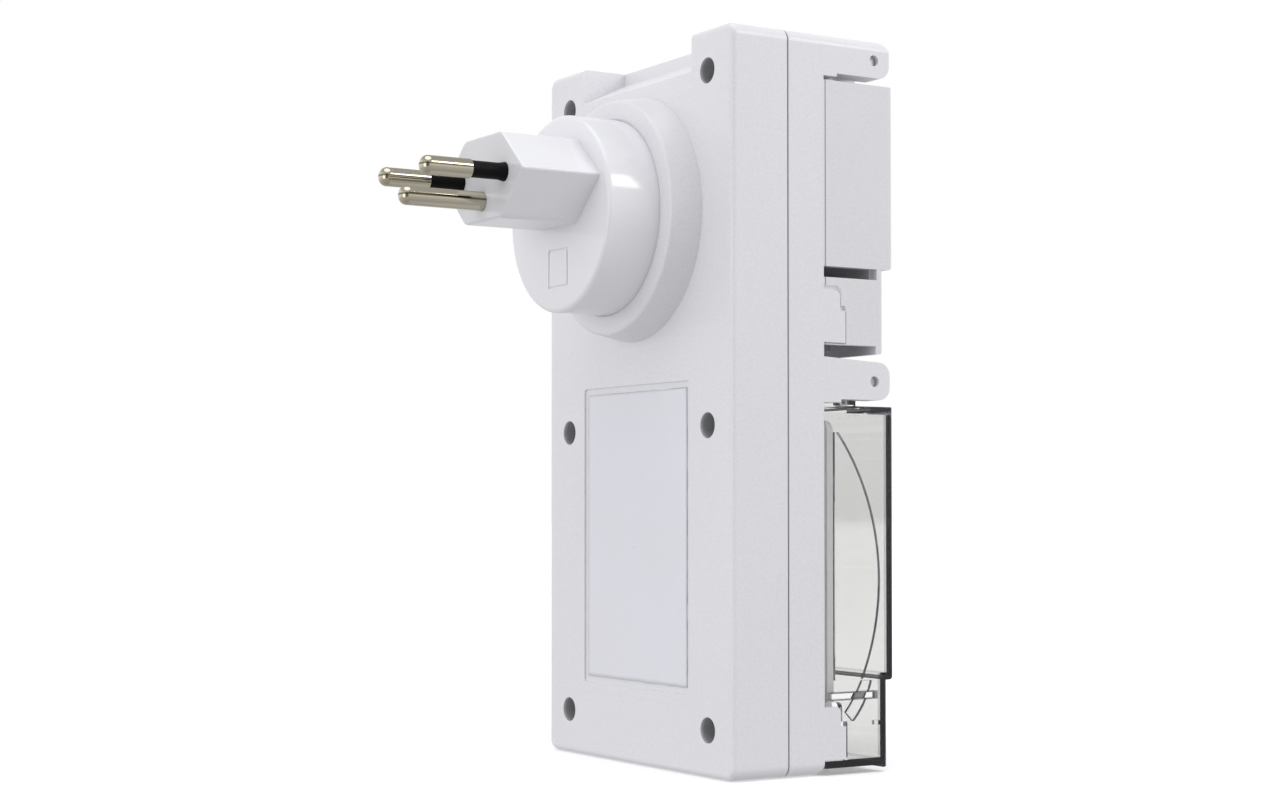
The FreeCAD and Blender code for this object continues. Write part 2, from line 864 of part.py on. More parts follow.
def socket_lid():
    """The white sprung lid: a slot and a rebate for the cheek in each side, its bottom wall open beside."""
    top = hinge_socket_z - lid_top_gap
    shell = lid(top, socket_lid_step, socket_lid_bottom, socket_lid_lip, socket_lid_low_y, socket_lid_wall)
    shell = joined([shell, knuckle(hinge_socket_z, top)])
    cuts = []
    in_x = half_w - socket_lid_wall
    slot_low = socket_lid_step - lid_slot_h
    for side in both_sides(box(-half_w, -in_x, lid_slot_end_y, front_y, slot_low, socket_lid_step)):
        cuts.append(side)
    rebate = cheek(cheek_upper_z, cheek_side_gap, cheek_top_gap, cheek_side_gap)
    cuts.extend(both_sides(slab_x(rebate, -half_w, -half_w + cheek_t + cheek_gap)))
    relief = box(-in_x, -in_x + lid_relief_w, socket_lid_low_y + socket_lid_wall, front_y,
                 socket_lid_bottom, socket_lid_bottom + socket_lid_wall)
    cuts.extend(both_sides(relief))
    return shell.cut(cuts)


def arc_pad():
    """The raised arc-edged pad moulded on the inside of the clear lid's side wall."""
    x0 = -half_w + display_lid_wall
    top = V(x0, pad_top_y, hinge_display_z - pad_top_drop)
    bulge = V(x0, lid_face_y + display_lid_wall + pad_bulge_gap, display_lid_step + pad_bulge_up)
    low = V(x0, pad_low_y, display_lid_step + pad_low_gap)
    back_top = V(x0, pad_back_y, top.z)
    back_low = V(x0, pad_back_y, low.z)
    edges = [Part.Arc(top, bulge, low).toShape(), Part.LineSegment(low, back_low).toShape(),
             Part.LineSegment(back_low, back_top).toShape(), Part.LineSegment(back_top, top).toShape()]
    return Part.Face(Part.Wire(edges)).extrude(V(pad_t, 0, 0))


def bowed(a, b, bow):
    """An arc in a YZ plane from a to b that stands off the chord by bow."""
    along = b - a
    across = V(0, along.z, -along.y).normalize()
    return Part.Arc(a, (a + b) * 0.5 + across * bow, b).toShape()


def arc_rib():
    """The low rib inside the lid's side wall that carries the pad's line on towards the cheek."""
    x0 = -half_w + display_lid_wall
    opening = cheek(cheek_lower_z, cheek_side_gap, cheek_top_gap, cheek_side_gap)
    corner_y, corner_z = opening[2][:2]
    in_top = V(x0, pad_low_y, display_lid_step)
    out_top = V(x0, pad_low_y - rib_w, display_lid_step)
    in_low = V(x0, corner_y - rib_side, corner_z + rib_foot_up)
    out_low = in_low + V(0, -rib_foot_w, -rib_foot_w)
    edges = [bowed(out_top, out_low, rib_bow_out), Part.LineSegment(out_low, in_low).toShape(),
             bowed(in_low, in_top, -rib_bow_in), Part.LineSegment(in_top, out_top).toShape()]
    return Part.Face(Part.Wire(edges)).extrude(V(pad_t, 0, 0))


def display_lid():
    """The clear lid over the control panel, with slots, cut-outs and an arc pad in each side."""
    top = hinge_display_z - lid_top_gap
    shell = lid(top, display_lid_step, display_lid_bottom, display_lid_lip,
                display_lid_low_y, display_lid_wall)
    in_x = half_w - display_lid_wall
    nib_y = display_lid_low_y + display_lid_wall
    nib = box(-in_x, -in_x + nib_w, nib_y, nib_y + nib_w, nib_z - nib_h / 2, nib_z + nib_h / 2)
    adds = [knuckle(hinge_display_z, top)] + both_sides(arc_pad()) + both_sides(nib)
    adds += both_sides(arc_rib())
    shell = joined([shell] + adds)
    slot = box(-half_w, -in_x, display_slot_end_y, front_y - display_lid_wall,
               display_slot_top - display_slot_h, display_slot_top)
    opening = cheek(cheek_lower_z, cheek_side_gap, cheek_top_gap, cheek_side_gap)
    cuts = both_sides(slot) + both_sides(slab_x(opening, -half_w, -in_x))
    return shell.cut(cuts)


def hinge_pin(axis_z):
    """A plain steel pin through both lugs, sunk a little at each end."""
    reach = half_w - hinge_pin_inset
    return rod_x(hinge_pin_r, -reach, reach, hinge_y, axis_z)


def biarc(p0, t0, p1, t1):
    """Two tangent arcs from one point and direction to another."""
    v = p1 - p0
    t = t0 + t1
    a = 2 * (t0.dot(t1) - 1)
    b = -2 * v.dot(t)
    c = v.dot(v)
    d = (-b - math.sqrt(b * b - 4 * a * c)) / (2 * a)
    if d < 0:
        d = (-b + math.sqrt(b * b - 4 * a * c)) / (2 * a)
    corner_a = p0 + t0 * d
    corner_b = p1 - t1 * d
    joint = (corner_a + corner_b) * 0.5
    return [tangent_arc(p0, corner_a, joint), tangent_arc(joint, corner_b, p1)]


def tangent_arc(p0, corner, p1):
    """The arc from p0 to p1 whose end tangents meet at the corner."""
    middle = (p0 + p1) * 0.5
    chord = (p1 - p0).Length
    angle = (corner - p0).getAngle(p1 - p0)
    rise = chord / 2 * math.tan(angle / 2)
    bulge = (corner - middle).normalize()
    return Part.Arc(p0, middle + bulge * rise, p1).toShape()


def spring_path(axis_z, lid_top):
    """The torsion spring's centre line: a leg to the shell, the coils, and a foot over the lid."""
    x0 = -lug_in_x + spring_wire_r + spring_side_gap
    steps = int(round(spring_turns * spring_arcs_per_turn))

    def on_coil(turn):
        a = 2 * math.pi * turn
        return V(x0 + spring_pitch * turn, hinge_y - spring_r * math.sin(a),
                 axis_z - spring_r * math.cos(a))

    def heading(turn):
        a = 2 * math.pi * turn
        rise = spring_pitch / (2 * math.pi)
        if turn == 0 or turn == spring_turns:
            rise = 0
        return V(rise, -spring_r * math.cos(a), spring_r * math.sin(a)).normalize()

    start = on_coil(0)
    edges = [Part.LineSegment(V(start.x, front_y - spring_end_gap, start.z), start).toShape()]
    for k in range(steps):
        a = k / spring_arcs_per_turn
        b = (k + 1) / spring_arcs_per_turn
        edges.extend(biarc(on_coil(a), heading(a), on_coil(b), heading(b)))
    end = on_coil(spring_turns)
    foot_z = lid_top + spring_wire_r + spring_end_gap
    corner = V(end.x, end.y, foot_z)
    bend_in = corner + V(0, 0, spring_bend_r)
    bend_out = corner + V(0, -spring_bend_r, 0)
    edges.append(Part.LineSegment(end, bend_in).toShape())
    edges.append(tangent_arc(bend_in, corner, bend_out))
    edges.append(Part.LineSegment(bend_out, corner + V(0, -spring_foot, 0)).toShape())
    return edges


def self_gap(edges, wire_r):
    """The least gap between stretches of the wire that aren't next to each other, on points."""
    spots = []
    run = 0.0
    for edge in edges:
        count = max(4, int(edge.Length / 0.15))
        for k, point in enumerate(edge.discretize(Number=count)[:-1]):
            spots.append((run + edge.Length * k / (count - 1), point))
        run += edge.Length
    least = math.inf
    for i, (run_a, a) in enumerate(spots):
        for run_b, b in spots[i + 1:]:
            if run_b - run_a > 4 * math.pi * wire_r:
                least = min(least, (b - a).Length - 2 * wire_r)
    return least


def torsion_spring(axis_z, lid_top):
    """The closing spring of a lid, bent from one length of wire."""
    edges = spring_path(axis_z, lid_top)
    print("spring self-gap %.2f mm" % self_gap(edges, spring_wire_r))
    path = Part.Wire(edges)
    ends = edges[0].Vertexes
    aim = (ends[1].Point - ends[0].Point).normalize()
    ring = Part.Wire(Part.Circle(ends[0].Point, aim, spring_wire_r).toShape())
    return path.makePipeShell([ring], True, False)


def outlet_contact_places():
    """Where the outlet takes its three pins, as x and z."""
    return {name: (x, z + outlet_z) for name, (x, z) in pin_places().items()}


def outlet_collar():
    """The outlet's round collar with a six-sided hole through it, a skirt and a mounting plate."""
    collar = turned([
        (0, outlet_face_y, 0),
        (outlet_r, outlet_face_y, outlet_edge_r),
        (outlet_r, outlet_plate_back_y, 0),
        (0, outlet_plate_back_y, 0),
    ], z=outlet_z)
    collar = collar.cut(rod_y(outlet_r - outlet_rim, outlet_floor_y, outlet_plate_back_y, 0, outlet_z))
    plate_x = outlet_post_x + outlet_plate_margin
    plate_z = outlet_post_up + outlet_plate_margin
    plate = plate_y(-plate_x, plate_x, outlet_z - plate_z, outlet_z + plate_z, outlet_plate_margin,
                    outlet_plate_y, outlet_plate_back_y)
    plate = plate.cut(rod_y(outlet_r - outlet_rim, outlet_plate_y, outlet_plate_back_y, 0, outlet_z))
    body = joined([collar, plate])
    cuts = [hexagon(recess_clear, outlet_face_y, outlet_floor_y, outlet_z)]
    for x, z in outlet_post_places():
        cuts.append(rod_y(small_shank_r + screw_clear, outlet_plate_y, outlet_plate_back_y, x, z))
    return body.cut(cuts)


def contact_carrier():
    """The round floor of the outlet, fitted in the collar's skirt, and the contact block behind it."""
    floor = rod_y(outlet_r - outlet_rim - carrier_fit, outlet_floor_y, outlet_back_y, 0, outlet_z)
    block = box(-outlet_block_half_w, outlet_block_half_w, outlet_back_y - outlet_floor / 2,
                outlet_block_end_y, outlet_z - outlet_block_bottom, outlet_z + outlet_block_top)
    cuts = []
    for x, z in outlet_contact_places().values():
        cuts.append(box(x - cell_half, x + cell_half, outlet_back_y, outlet_block_end_y,
                        z - cell_half, z + cell_half))
        cuts.append(rod_y(outlet_hole_r, outlet_floor_y, outlet_back_y, x, z))
    return joined([floor, block]).cut(cuts)


def outlet_contact(x, z):
    """A slit spring sleeve that grips one pin, with a foot that bears on the block."""
    tube = rod_y(contact_r + contact_t, outlet_back_y + contact_lead_in, outlet_block_end_y, x, z)
    foot = box(x - contact_foot, x + contact_foot, outlet_block_end_y, link_y,
               z - contact_foot, z + contact_foot)
    bore = rod_y(contact_r, outlet_back_y + contact_lead_in, link_y, x, z)
    slit = box(x - contact_slit / 2, x + contact_slit / 2, outlet_back_y + contact_lead_in,
               outlet_block_end_y - contact_t, z, z + contact_r + 2 * contact_t)
    return joined([tube, foot]).cut([bore, slit])


def side_link(sign):
    """The strip from a live pin out to the side, back past the plug body and down to the board."""
    plate_back = pin_collar_y - link_t
    pieces = [
        box(line_x - link_half_w, line_x + link_half_w, plate_back, pin_collar_y, link_low_z, link_half_w),
        box(line_x, link_side_x, plate_back, pin_collar_y, link_low_z, link_high_z),
        box(link_side_x - link_t, link_side_x, power_board_front_y, pin_collar_y, link_low_z, link_high_z),
        box(link_side_x - link_t - link_load_half / 2, link_out_x, link_y, power_board_front_y,
            link_end_z, link_high_z),
    ]
    link = joined(pieces).cut(rod_y(pin_neck_r + pin_fit, plate_back, pin_collar_y, line_x, 0))
    return link if sign > 0 else link.mirror(V(0, 0, 0), AXIS_X)


def neutral_link():
    """The neutral strip, with a branch to the outlet's neutral contact."""
    x, z = outlet_contact_places()["neutral"]
    branch = box(-link_side_x, x + link_ring_half, link_y, power_board_front_y,
                 z - link_ring_half, z + link_ring_half)
    return joined([side_link(-1), branch]).cut(rod_y(contact_r, link_y, power_board_front_y, x, z))


def load_link():
    """The strip from the board up to the outlet's line contact."""
    x, z = outlet_contact_places()["line"]
    strip = box(x - link_load_half, x + link_load_half, link_y, power_board_front_y, link_end_z, z)
    ring = box(x - link_ring_half, x + link_ring_half, link_y, power_board_front_y,
               z - link_ring_half, z + link_ring_half)
    return joined([strip, ring]).cut(rod_y(contact_r, link_y, power_board_front_y, x, z))


def earth_link():
    """The strip from the earth pin to the outlet's earth contact."""
    x, z = outlet_contact_places()["earth"]
    plate_back = pin_collar_y - link_t
    pieces = [
        box(-link_half_w, link_half_w, plate_back, pin_collar_y, earth_turn_z, -earth_drop + link_half_w),
        box(-link_half_w, link_half_w, link_y, pin_collar_y, earth_turn_z, earth_turn_z + link_t),
        box(-link_ring_half, link_ring_half, link_y, power_board_front_y, earth_turn_z, z + link_ring_half),
    ]
    link = joined(pieces).cut(rod_y(pin_neck_r + pin_fit, plate_back, pin_collar_y, 0, -earth_drop))
    return link.cut(rod_y(contact_r, link_y, power_board_front_y, x, z))


def frame_ring(x1, z0, z1, r, width, y0, y1):
    """A flat rectangular ring in the XZ plane, even in x, as wide as given inside its outline."""
    outer = plate_y(-x1, x1, z0, z1, r, y0, y1)
    inner = plate_y(-x1 + width, x1 - width, z0 + width, z1 - width, max(r - width, 0.3), y0, y1)
    return outer.cut(inner)


def socket_seal():
    """The rubber frame that the white lid closes round."""
    x1 = half_w - socket_lid_wall - seal_gap
    top = hinge_socket_z - lid_top_gap - socket_lid_wall - seal_gap
    low = socket_lid_bottom + socket_lid_wall + seal_gap
    return frame_ring(x1, low, top, seal_r, seal_w, front_y - seal_h, front_y)


def display_seal():
    """The rubber frame round the control panel, inside the clear lid."""
    grow = window_gap + seal_w
    return frame_ring(panel_half_w + grow, panel_bottom - grow, panel_top + grow, panel_r + grow,
                      seal_w, front_y - seal_h, front_y)


def key_outline(x, z, grow, y0, y1):
    """A key's rounded outline, grown by a clearance or a lip."""
    w = key_w / 2 + grow
    h = key_h / 2 + grow
    return plate_y(x - w, x + w, z - h, z + h, key_r, y0, y1)


def key_places():
    """The name and centre of each key."""
    spots = [(x, z) for z in key_rows for x in key_columns]
    return dict(zip(key_names, spots))


def control_panel():
    """The panel under the clear lid: a shallow tray with a window, key holes and posts behind."""
    body = plate_y(-panel_half_w, panel_half_w, panel_bottom, panel_top, panel_r, panel_face_y, front_y)
    body = body.makeFillet(panel_edge_r, seam_edges(body, panel_face_y))
    hollow = plate_y(-panel_half_w + panel_wall, panel_half_w - panel_wall, panel_bottom + panel_wall,
                     panel_top - panel_wall, panel_r - panel_wall, panel_inner_y, front_y)
    body = body.cut(hollow)
    posts = [rod_y(small_post_r, panel_inner_y, front_y, x, z) for x, z in panel_screw_places()]
    posts += [rod_y(small_post_r, panel_inner_y, control_board_front_y, x, z)
              for x, z in control_screw_places()]
    body = joined([body] + posts)
    cuts = [box(-window_half_w, window_half_w, panel_face_y, panel_inner_y, window_bottom, window_top)]
    lap = window_lap
    cuts.append(box(-window_half_w - lap, window_half_w + lap, panel_face_y, panel_face_y + window_t,
                    window_bottom - lap, window_top + lap))
    for x, z in key_places().values():
        cuts.append(key_outline(x, z, key_gap, panel_face_y, panel_inner_y))
    cuts.append(rod_y(reset_r + key_gap, panel_face_y, panel_inner_y, reset_x, reset_z))
    pilot_r = small_shank_r + small_pilot_gap
    for x, z in panel_screw_places():
        cuts.append(rod_y(pilot_r, panel_pilot_y, front_y, x, z))
    for x, z in control_screw_places():
        cuts.append(rod_y(pilot_r, panel_pilot_y, control_board_front_y, x, z))
    return body.cut(cuts)


def fascia_film():
    """The printed film on the panel, cut out round the window and the keys."""
    m = fascia_margin
    y0 = panel_face_y - fascia_t
    film = plate_y(-panel_half_w + m, panel_half_w - m, panel_bottom + m, panel_top - m, panel_r,
                   y0, panel_face_y)
    cuts = [box(-window_half_w, window_half_w, y0, panel_face_y, window_bottom, window_top)]
    for x, z in key_places().values():
        cuts.append(key_outline(x, z, key_gap, y0, panel_face_y))
    cuts.append(rod_y(reset_r + key_gap, y0, panel_face_y, reset_x, reset_z))
    return film.cut(cuts)


def display_window():
    """The clear pane over the display, let into the panel."""
    reach = window_lap - window_gap
    return box(-window_half_w - reach, window_half_w + reach, panel_face_y, panel_face_y + window_t,
               window_bottom - reach, window_top + reach)


def key(x, z):
    """A key cap with the lip that keeps it behind the panel."""
    cap = key_outline(x, z, 0, key_face_y, key_lip_y)
    cap = cap.makeFillet(key_edge_r, seam_edges(cap, key_face_y))
    lip = key_outline(x, z, key_lip, key_lip_y, key_back_y)
    return joined([cap, lip])


def reset_button():
    """The small recessed reset button."""
    cap = rod_y(reset_r, panel_face_y + reset_sink, key_lip_y, reset_x, reset_z)
    lip = rod_y(reset_r + key_lip, key_lip_y, key_back_y, reset_x, reset_z)
    return joined([cap, lip])


def keypad_mat():
    """The silicone mat on the board, with a dome behind each key."""
    m = mat_margin
    x0 = key_columns[0] - key_w / 2 - m
    x1 = reset_x + reset_dome_r + reset_gap
    z0 = key_rows[-1] - key_h / 2 - m
    z1 = key_rows[0] + key_h / 2 + m
    parts = [plate_y(x0, x1, z0, z1, m, mat_face_y, control_board_front_y)]
    spots = [(x, z, dome_r, dome_top_r) for x, z in key_places().values()]
    spots.append((reset_x, reset_z, reset_dome_r, reset_dome_top_r))
    for x, z, low_r, high_r in spots:
        parts.append(Part.makeCone(low_r, high_r, mat_face_y - dome_top_y, V(x, mat_face_y, z), -AXIS_Y))
    return joined(parts)


def lcd_glass():
    """The display glass."""
    return box(-lcd_half_w, lcd_half_w, lcd_face_y, lcd_back_y, lcd_bottom, lcd_top)


def lcd_frame():
    """The frame that holds the glass on the board, with a ledge under the glass."""
    w = lcd_frame_w
    outer = box(-lcd_half_w - w, lcd_half_w + w, lcd_face_y, control_board_front_y,
                lcd_bottom - w, lcd_top + w)
    g = lcd_fit
    seat = box(-lcd_half_w - g, lcd_half_w + g, lcd_face_y, lcd_back_y, lcd_bottom - g, lcd_top + g)
    inside = box(-lcd_half_w + lcd_ledge, lcd_half_w - lcd_ledge, lcd_back_y, control_board_front_y,
                 lcd_bottom + lcd_ledge / 2, lcd_top - lcd_ledge / 2)
    return outer.cut([seat, inside])


def zebra_strips():
    """The two rubber contact strips between the glass and the board."""
    x = lcd_half_w - 2 * lcd_ledge
    low = lcd_bottom + lcd_ledge
    high = lcd_top - lcd_ledge
    strips = [box(-x, x, lcd_back_y, control_board_front_y, low, low + zebra_w),
              box(-x, x, lcd_back_y, control_board_front_y, high - zebra_w, high)]
    return Part.makeCompound(strips)


def control_board():
    """The board behind the panel."""
    board = plate_y(-control_half_w, control_half_w, control_bottom, control_top, module_r,
                    control_board_front_y, control_board_back_y)
    hole_r = small_shank_r + screw_clear
    return board.cut([rod_y(hole_r, control_board_front_y, control_board_back_y, x, z)
                      for x, z in control_screw_places()])


def cell_clip():
    """The strap that holds the back-up cell on the board."""
    inner = cell_r + window_gap
    outer = inner + clip_t
    top_y = control_board_back_y + cell_h
    low = cell_z - clip_w / 2
    strap = box(-outer, outer, control_board_back_y, top_y + clip_t, low, low + clip_w)
    return strap.cut(box(-inner, inner, control_board_back_y, top_y, low, low + clip_w))


def power_board():
    """The mains board in the rear shell."""
    board = box(-power_board_half_w, power_board_half_w, power_board_front_y, power_board_back_y,
                power_board_bottom, power_board_top)
    hole_r = small_shank_r + screw_clear
    return board.cut([rod_y(hole_r, power_board_front_y, power_board_back_y, x, z)
                      for x, z in power_screw_places()])


def spread(sizes, low, high):
    """The centres of pieces of these sizes, set out between two limits with equal gaps."""
    gap = (high - low - sum(sizes)) / (len(sizes) + 1)
    centres = []
    for size in sizes:
        centres.append(low + gap + size / 2)
        low += gap + size
    return centres


def power_places():
    """Where the mains board's larger parts stand, as x and z: three rows under the top screws."""
    diodes_h = (diode_count - 1) * diode_pitch + 2 * diode_r
    low = header_z + header_w / 2
    high = power_screw_rows[0] - small_head_r - parts_gap
    z_low, z_middle, z_high = spread([2 * fuse_clip_half, diodes_h, relay_d], low, high)
    half = power_board_half_w
    diode_w = diode_length + 2 * lead_out
    resistor_w = resistor_length + 2 * lead_out
    relay_x, electro_x = spread([relay_w, 2 * electro_r], -half, half)
    film_x, diode_x, varistor_x = spread([film_w, diode_w, varistor_t], -half, half)
    fuse_x, resistor_x = spread([fuse_length, resistor_w], -half, half)
    return {
        "relay": (relay_x, z_high),
        "smoothing_capacitor": (electro_x, z_high),
        "film_capacitor": (film_x, z_middle),
        "rectifier_diodes": (diode_x, z_middle),
        "varistor": (varistor_x, z_middle),
        "fuse": (fuse_x, z_low),
        "dropper_resistor": (resistor_x, z_low),
    }


def boxed_part(w, d, h, x, z):
    """A sealed box-shaped component on the mains board: width, depth in z, height and place."""
    body = box(x - w / 2, x + w / 2, power_board_front_y - h, power_board_front_y, z - d / 2, z + d / 2)
    return body.makeFillet(case_edge_r, seam_edges(body, power_board_front_y - h))


def axial_part(r, length, x, z):
    """A wire-ended component lying on the mains board."""
    y = power_board_front_y - lead_gap - r
    reach = length / 2 + lead_out
    parts = [rod_x(r, x - length / 2, x + length / 2, y, z), rod_x(lead_r, x - reach, x + reach, y, z)]
    for side in (-1, 1):
        foot_x = x + side * (reach - lead_r)
        parts.append(rod_y(lead_r, y, power_board_front_y, foot_x, z))
    return joined(parts)


def rectifier_diodes(x, z):
    """The row of diodes, one above the other."""
    low = z - (diode_count - 1) * diode_pitch / 2
    return Part.makeCompound([axial_part(diode_r, diode_length, x, low + k * diode_pitch)
                              for k in range(diode_count)])


def varistor(x, z):
    """The round surge absorber, standing on two leads."""
    y = power_board_front_y - lead_rise - varistor_r
    disc = rod_x(varistor_r, x - varistor_t / 2, x + varistor_t / 2, y, z)
    leads = [rod_y(lead_r, y, power_board_front_y, x, z + s * varistor_r / 2) for s in (-1, 1)]
    return joined([disc] + leads)


def electrolytic(x, z):
    """The smoothing capacitor, with the groove near its foot."""
    top_y = power_board_front_y - electro_h
    groove_y = power_board_front_y - lead_rise
    return turned([
        (0, top_y, 0),
        (electro_r, top_y, case_edge_r),
        (electro_r, groove_y - lead_rise, 0),
        (electro_r - lead_r, groove_y - lead_rise, 0),
        (electro_r - lead_r, groove_y, 0),
        (electro_r, groove_y, 0),
        (electro_r, power_board_front_y, 0),
        (0, power_board_front_y, 0),
    ], x, z)


def fuse(x, z):
    """The glass fuse with its end caps."""
    y = power_board_front_y - lead_gap - fuse_r
    low = x - fuse_length / 2
    high = x + fuse_length / 2
    return joined([rod_x(fuse_glass_r, low, high, y, z), rod_x(fuse_r, low, low + fuse_cap, y, z),
                   rod_x(fuse_r, high - fuse_cap, high, y, z)])


def fuse_clips(fuse_x, z):
    """The two clips that hold the fuse on the board."""
    y = power_board_front_y - lead_gap - fuse_r
    middle = (fuse_length - fuse_cap) / 2
    clips = []
    for x in (fuse_x - middle, fuse_x + middle):
        clip = box(x - fuse_clip_w / 2, x + fuse_clip_w / 2, y - fuse_r / 2, power_board_front_y,
                   z - fuse_clip_half, z + fuse_clip_half)
        clips.append(clip.cut(rod_x(fuse_r + pin_fit, x - fuse_clip_w, x + fuse_clip_w, y, z)))
    return Part.makeCompound(clips)


def board_header():
    """The pin header that joins the two boards."""
    w = header_w / 2
    parts = [
        box(-header_half_w, header_half_w, power_board_front_y - header_base, power_board_front_y,
            header_z - w, header_z + w),
        box(-header_half_w, header_half_w, control_board_back_y, control_board_back_y + header_base,
            header_z - w, header_z + w),
    ]
    pitch = 2 * header_half_w / header_pins
    p = header_pin_half
    for k in range(header_pins):
        x = -header_half_w + pitch * (k + 0.5)
        parts.append(box(x - p, x + p, control_board_back_y, power_board_front_y,
                         header_z - p, header_z + p))
    return joined(parts)


def rating_label():
    """The bare label in the recess on the back."""
    m = label_margin
    floor_y = back_y - recess_depth
    return plate_y(-recess_half_w + m, recess_half_w - m, recess_bottom + m, recess_top - m, recess_r,
                   floor_y, floor_y + label_t)


def screw_group(places, head_r, head_h, shank_r, seat_y, tip_y, sign):
    """Identical screws as one group of solids."""
    return Part.makeCompound([screw(head_r, head_h, shank_r, seat_y, tip_y, x, z, sign) for x, z in places])


def small_screws(places, seat_y, tip_y, sign):
    """A group of the small self-tapping screws."""
    return screw_group(places, small_head_r, small_head_h, small_shank_r, seat_y, tip_y, sign)


def board_screws():
    """The eight identical screws of the two boards."""
    front = small_screws(control_screw_places(), control_board_back_y,
                         control_board_back_y - board_screw_l, 1)
    rear = small_screws(power_screw_places(), power_board_front_y, power_board_front_y + board_screw_l, -1)
    return Part.makeCompound(front.Solids + rear.Solids)


def case_nodes():
    """The shells and what closes them."""
    tip_y = front_inner_y + screw_tip_gap
    return {
        "rear_shell": rear_shell(),
        "front_shell": front_shell(),
        "shell_gasket": gasket_ring(seam_y, seam_y + gasket_h),
        "housing_screws": screw_group(screw_places(), screw_head_r, screw_head_h, screw_shank_r,
                                      screw_seat_y, tip_y, 1),
        "rating_label": rating_label(),
    }


def plug_nodes():
    """The plug body, its pins and the copper behind them."""
    places = pin_places()
    nodes = {"plug_insert": plug_insert()}
    for name, (x, z) in places.items():
        contact = pin(name != "earth")
        contact.translate(V(x, 0, z))
        nodes[name + "_pin"] = contact
    sleeves = []
    for side in (-1, 1):
        sleeve = pin_sleeve()
        sleeve.translate(V(side * line_x, 0, 0))
        sleeves.append(sleeve)
    nodes["pin_sleeves"] = Part.makeCompound(sleeves)
    nodes["plug_insert_screws"] = small_screws(flange_screw_places(), disc_end_y,
                                               ring_face_y - 2 * ring_edge_r - screw_pilot_gap, -1)
    nodes["line_link"] = side_link(1)
    nodes["neutral_link"] = neutral_link()
    nodes["load_link"] = load_link()
    nodes["earth_link"] = earth_link()
    return nodes


def outlet_nodes():
    """The outlet and its contacts."""
    nodes = {"outlet_collar": outlet_collar(), "contact_carrier": contact_carrier()}
    for name, (x, z) in outlet_contact_places().items():
        nodes["outlet_" + name + "_contact"] = outlet_contact(x, z)
    nodes["outlet_screws"] = small_screws(outlet_post_places(), outlet_plate_back_y,
                                          front_inner_y + screw_tip_gap / 2, 1)
    nodes["socket_seal"] = socket_seal()
    return nodes


def lid_nodes():
    """Both lids with their hinge pins and springs."""
    return {
        "socket_lid": socket_lid(),
        "socket_lid_pin": hinge_pin(hinge_socket_z),
        "socket_lid_spring": torsion_spring(hinge_socket_z, hinge_socket_z - lid_top_gap),
        "display_lid": display_lid(),
        "display_lid_pin": hinge_pin(hinge_display_z),
        "display_lid_spring": torsion_spring(hinge_display_z, hinge_display_z - lid_top_gap),
    }


def panel_nodes():
    """The control panel, its keys, display and board."""
    nodes = {
        "control_panel": control_panel(),
        "panel_screws": small_screws(panel_screw_places(), front_inner_y, panel_inner_y, 1),
        "display_seal": display_seal(),
        "fascia_film": fascia_film(),
        "display_window": display_window(),
    }
    for name, (x, z) in key_places().items():
        nodes["key_" + name] = key(x, z)
    nodes["reset_button"] = reset_button()
    nodes["keypad_mat"] = keypad_mat()
    nodes["lcd_glass"] = lcd_glass()
    nodes["lcd_frame"] = lcd_frame()
    nodes["zebra_strips"] = zebra_strips()
    nodes["control_board"] = control_board()
    nodes["board_screws"] = board_screws()
    half = chip_w / 2
    nodes["microcontroller"] = box(-half, half, control_board_back_y, control_board_back_y + chip_t,
                                   chip_z - half, chip_z + half)
    nodes["quartz_crystal"] = Part.makeCylinder(
        crystal_r, crystal_length,
        V(crystal_x, control_board_back_y + crystal_r, chip_z - crystal_length / 2), V(0, 0, 1))
    nodes["backup_cell"] = rod_y(cell_r, control_board_back_y, control_board_back_y + cell_h, 0, cell_z)
    nodes["cell_clip"] = cell_clip()
    return nodes


def power_nodes():
    """The mains board and what it carries."""
    places = power_places()
    return {
        "power_board": power_board(),
        "relay": boxed_part(relay_w, relay_d, relay_h, *places["relay"]),
        "film_capacitor": boxed_part(film_w, film_d, film_h, *places["film_capacitor"]),
        "smoothing_capacitor": electrolytic(*places["smoothing_capacitor"]),
        "varistor": varistor(*places["varistor"]),
        "fuse": fuse(*places["fuse"]),
        "fuse_clips": fuse_clips(*places["fuse"]),
        "dropper_resistor": axial_part(resistor_r, resistor_length, *places["dropper_resistor"]),
        "rectifier_diodes": rectifier_diodes(*places["rectifier_diodes"]),
        "board_header": board_header(),
    }


def build():
    """Write every node."""
    os.makedirs("parts", exist_ok=True)
    for group in (case_nodes(), plug_nodes(), outlet_nodes(), lid_nodes(), panel_nodes(), power_nodes()):
        for name, shape in group.items():
            save(name, shape)


build()
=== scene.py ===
import math

import bmesh
import bpy
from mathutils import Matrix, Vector, noise


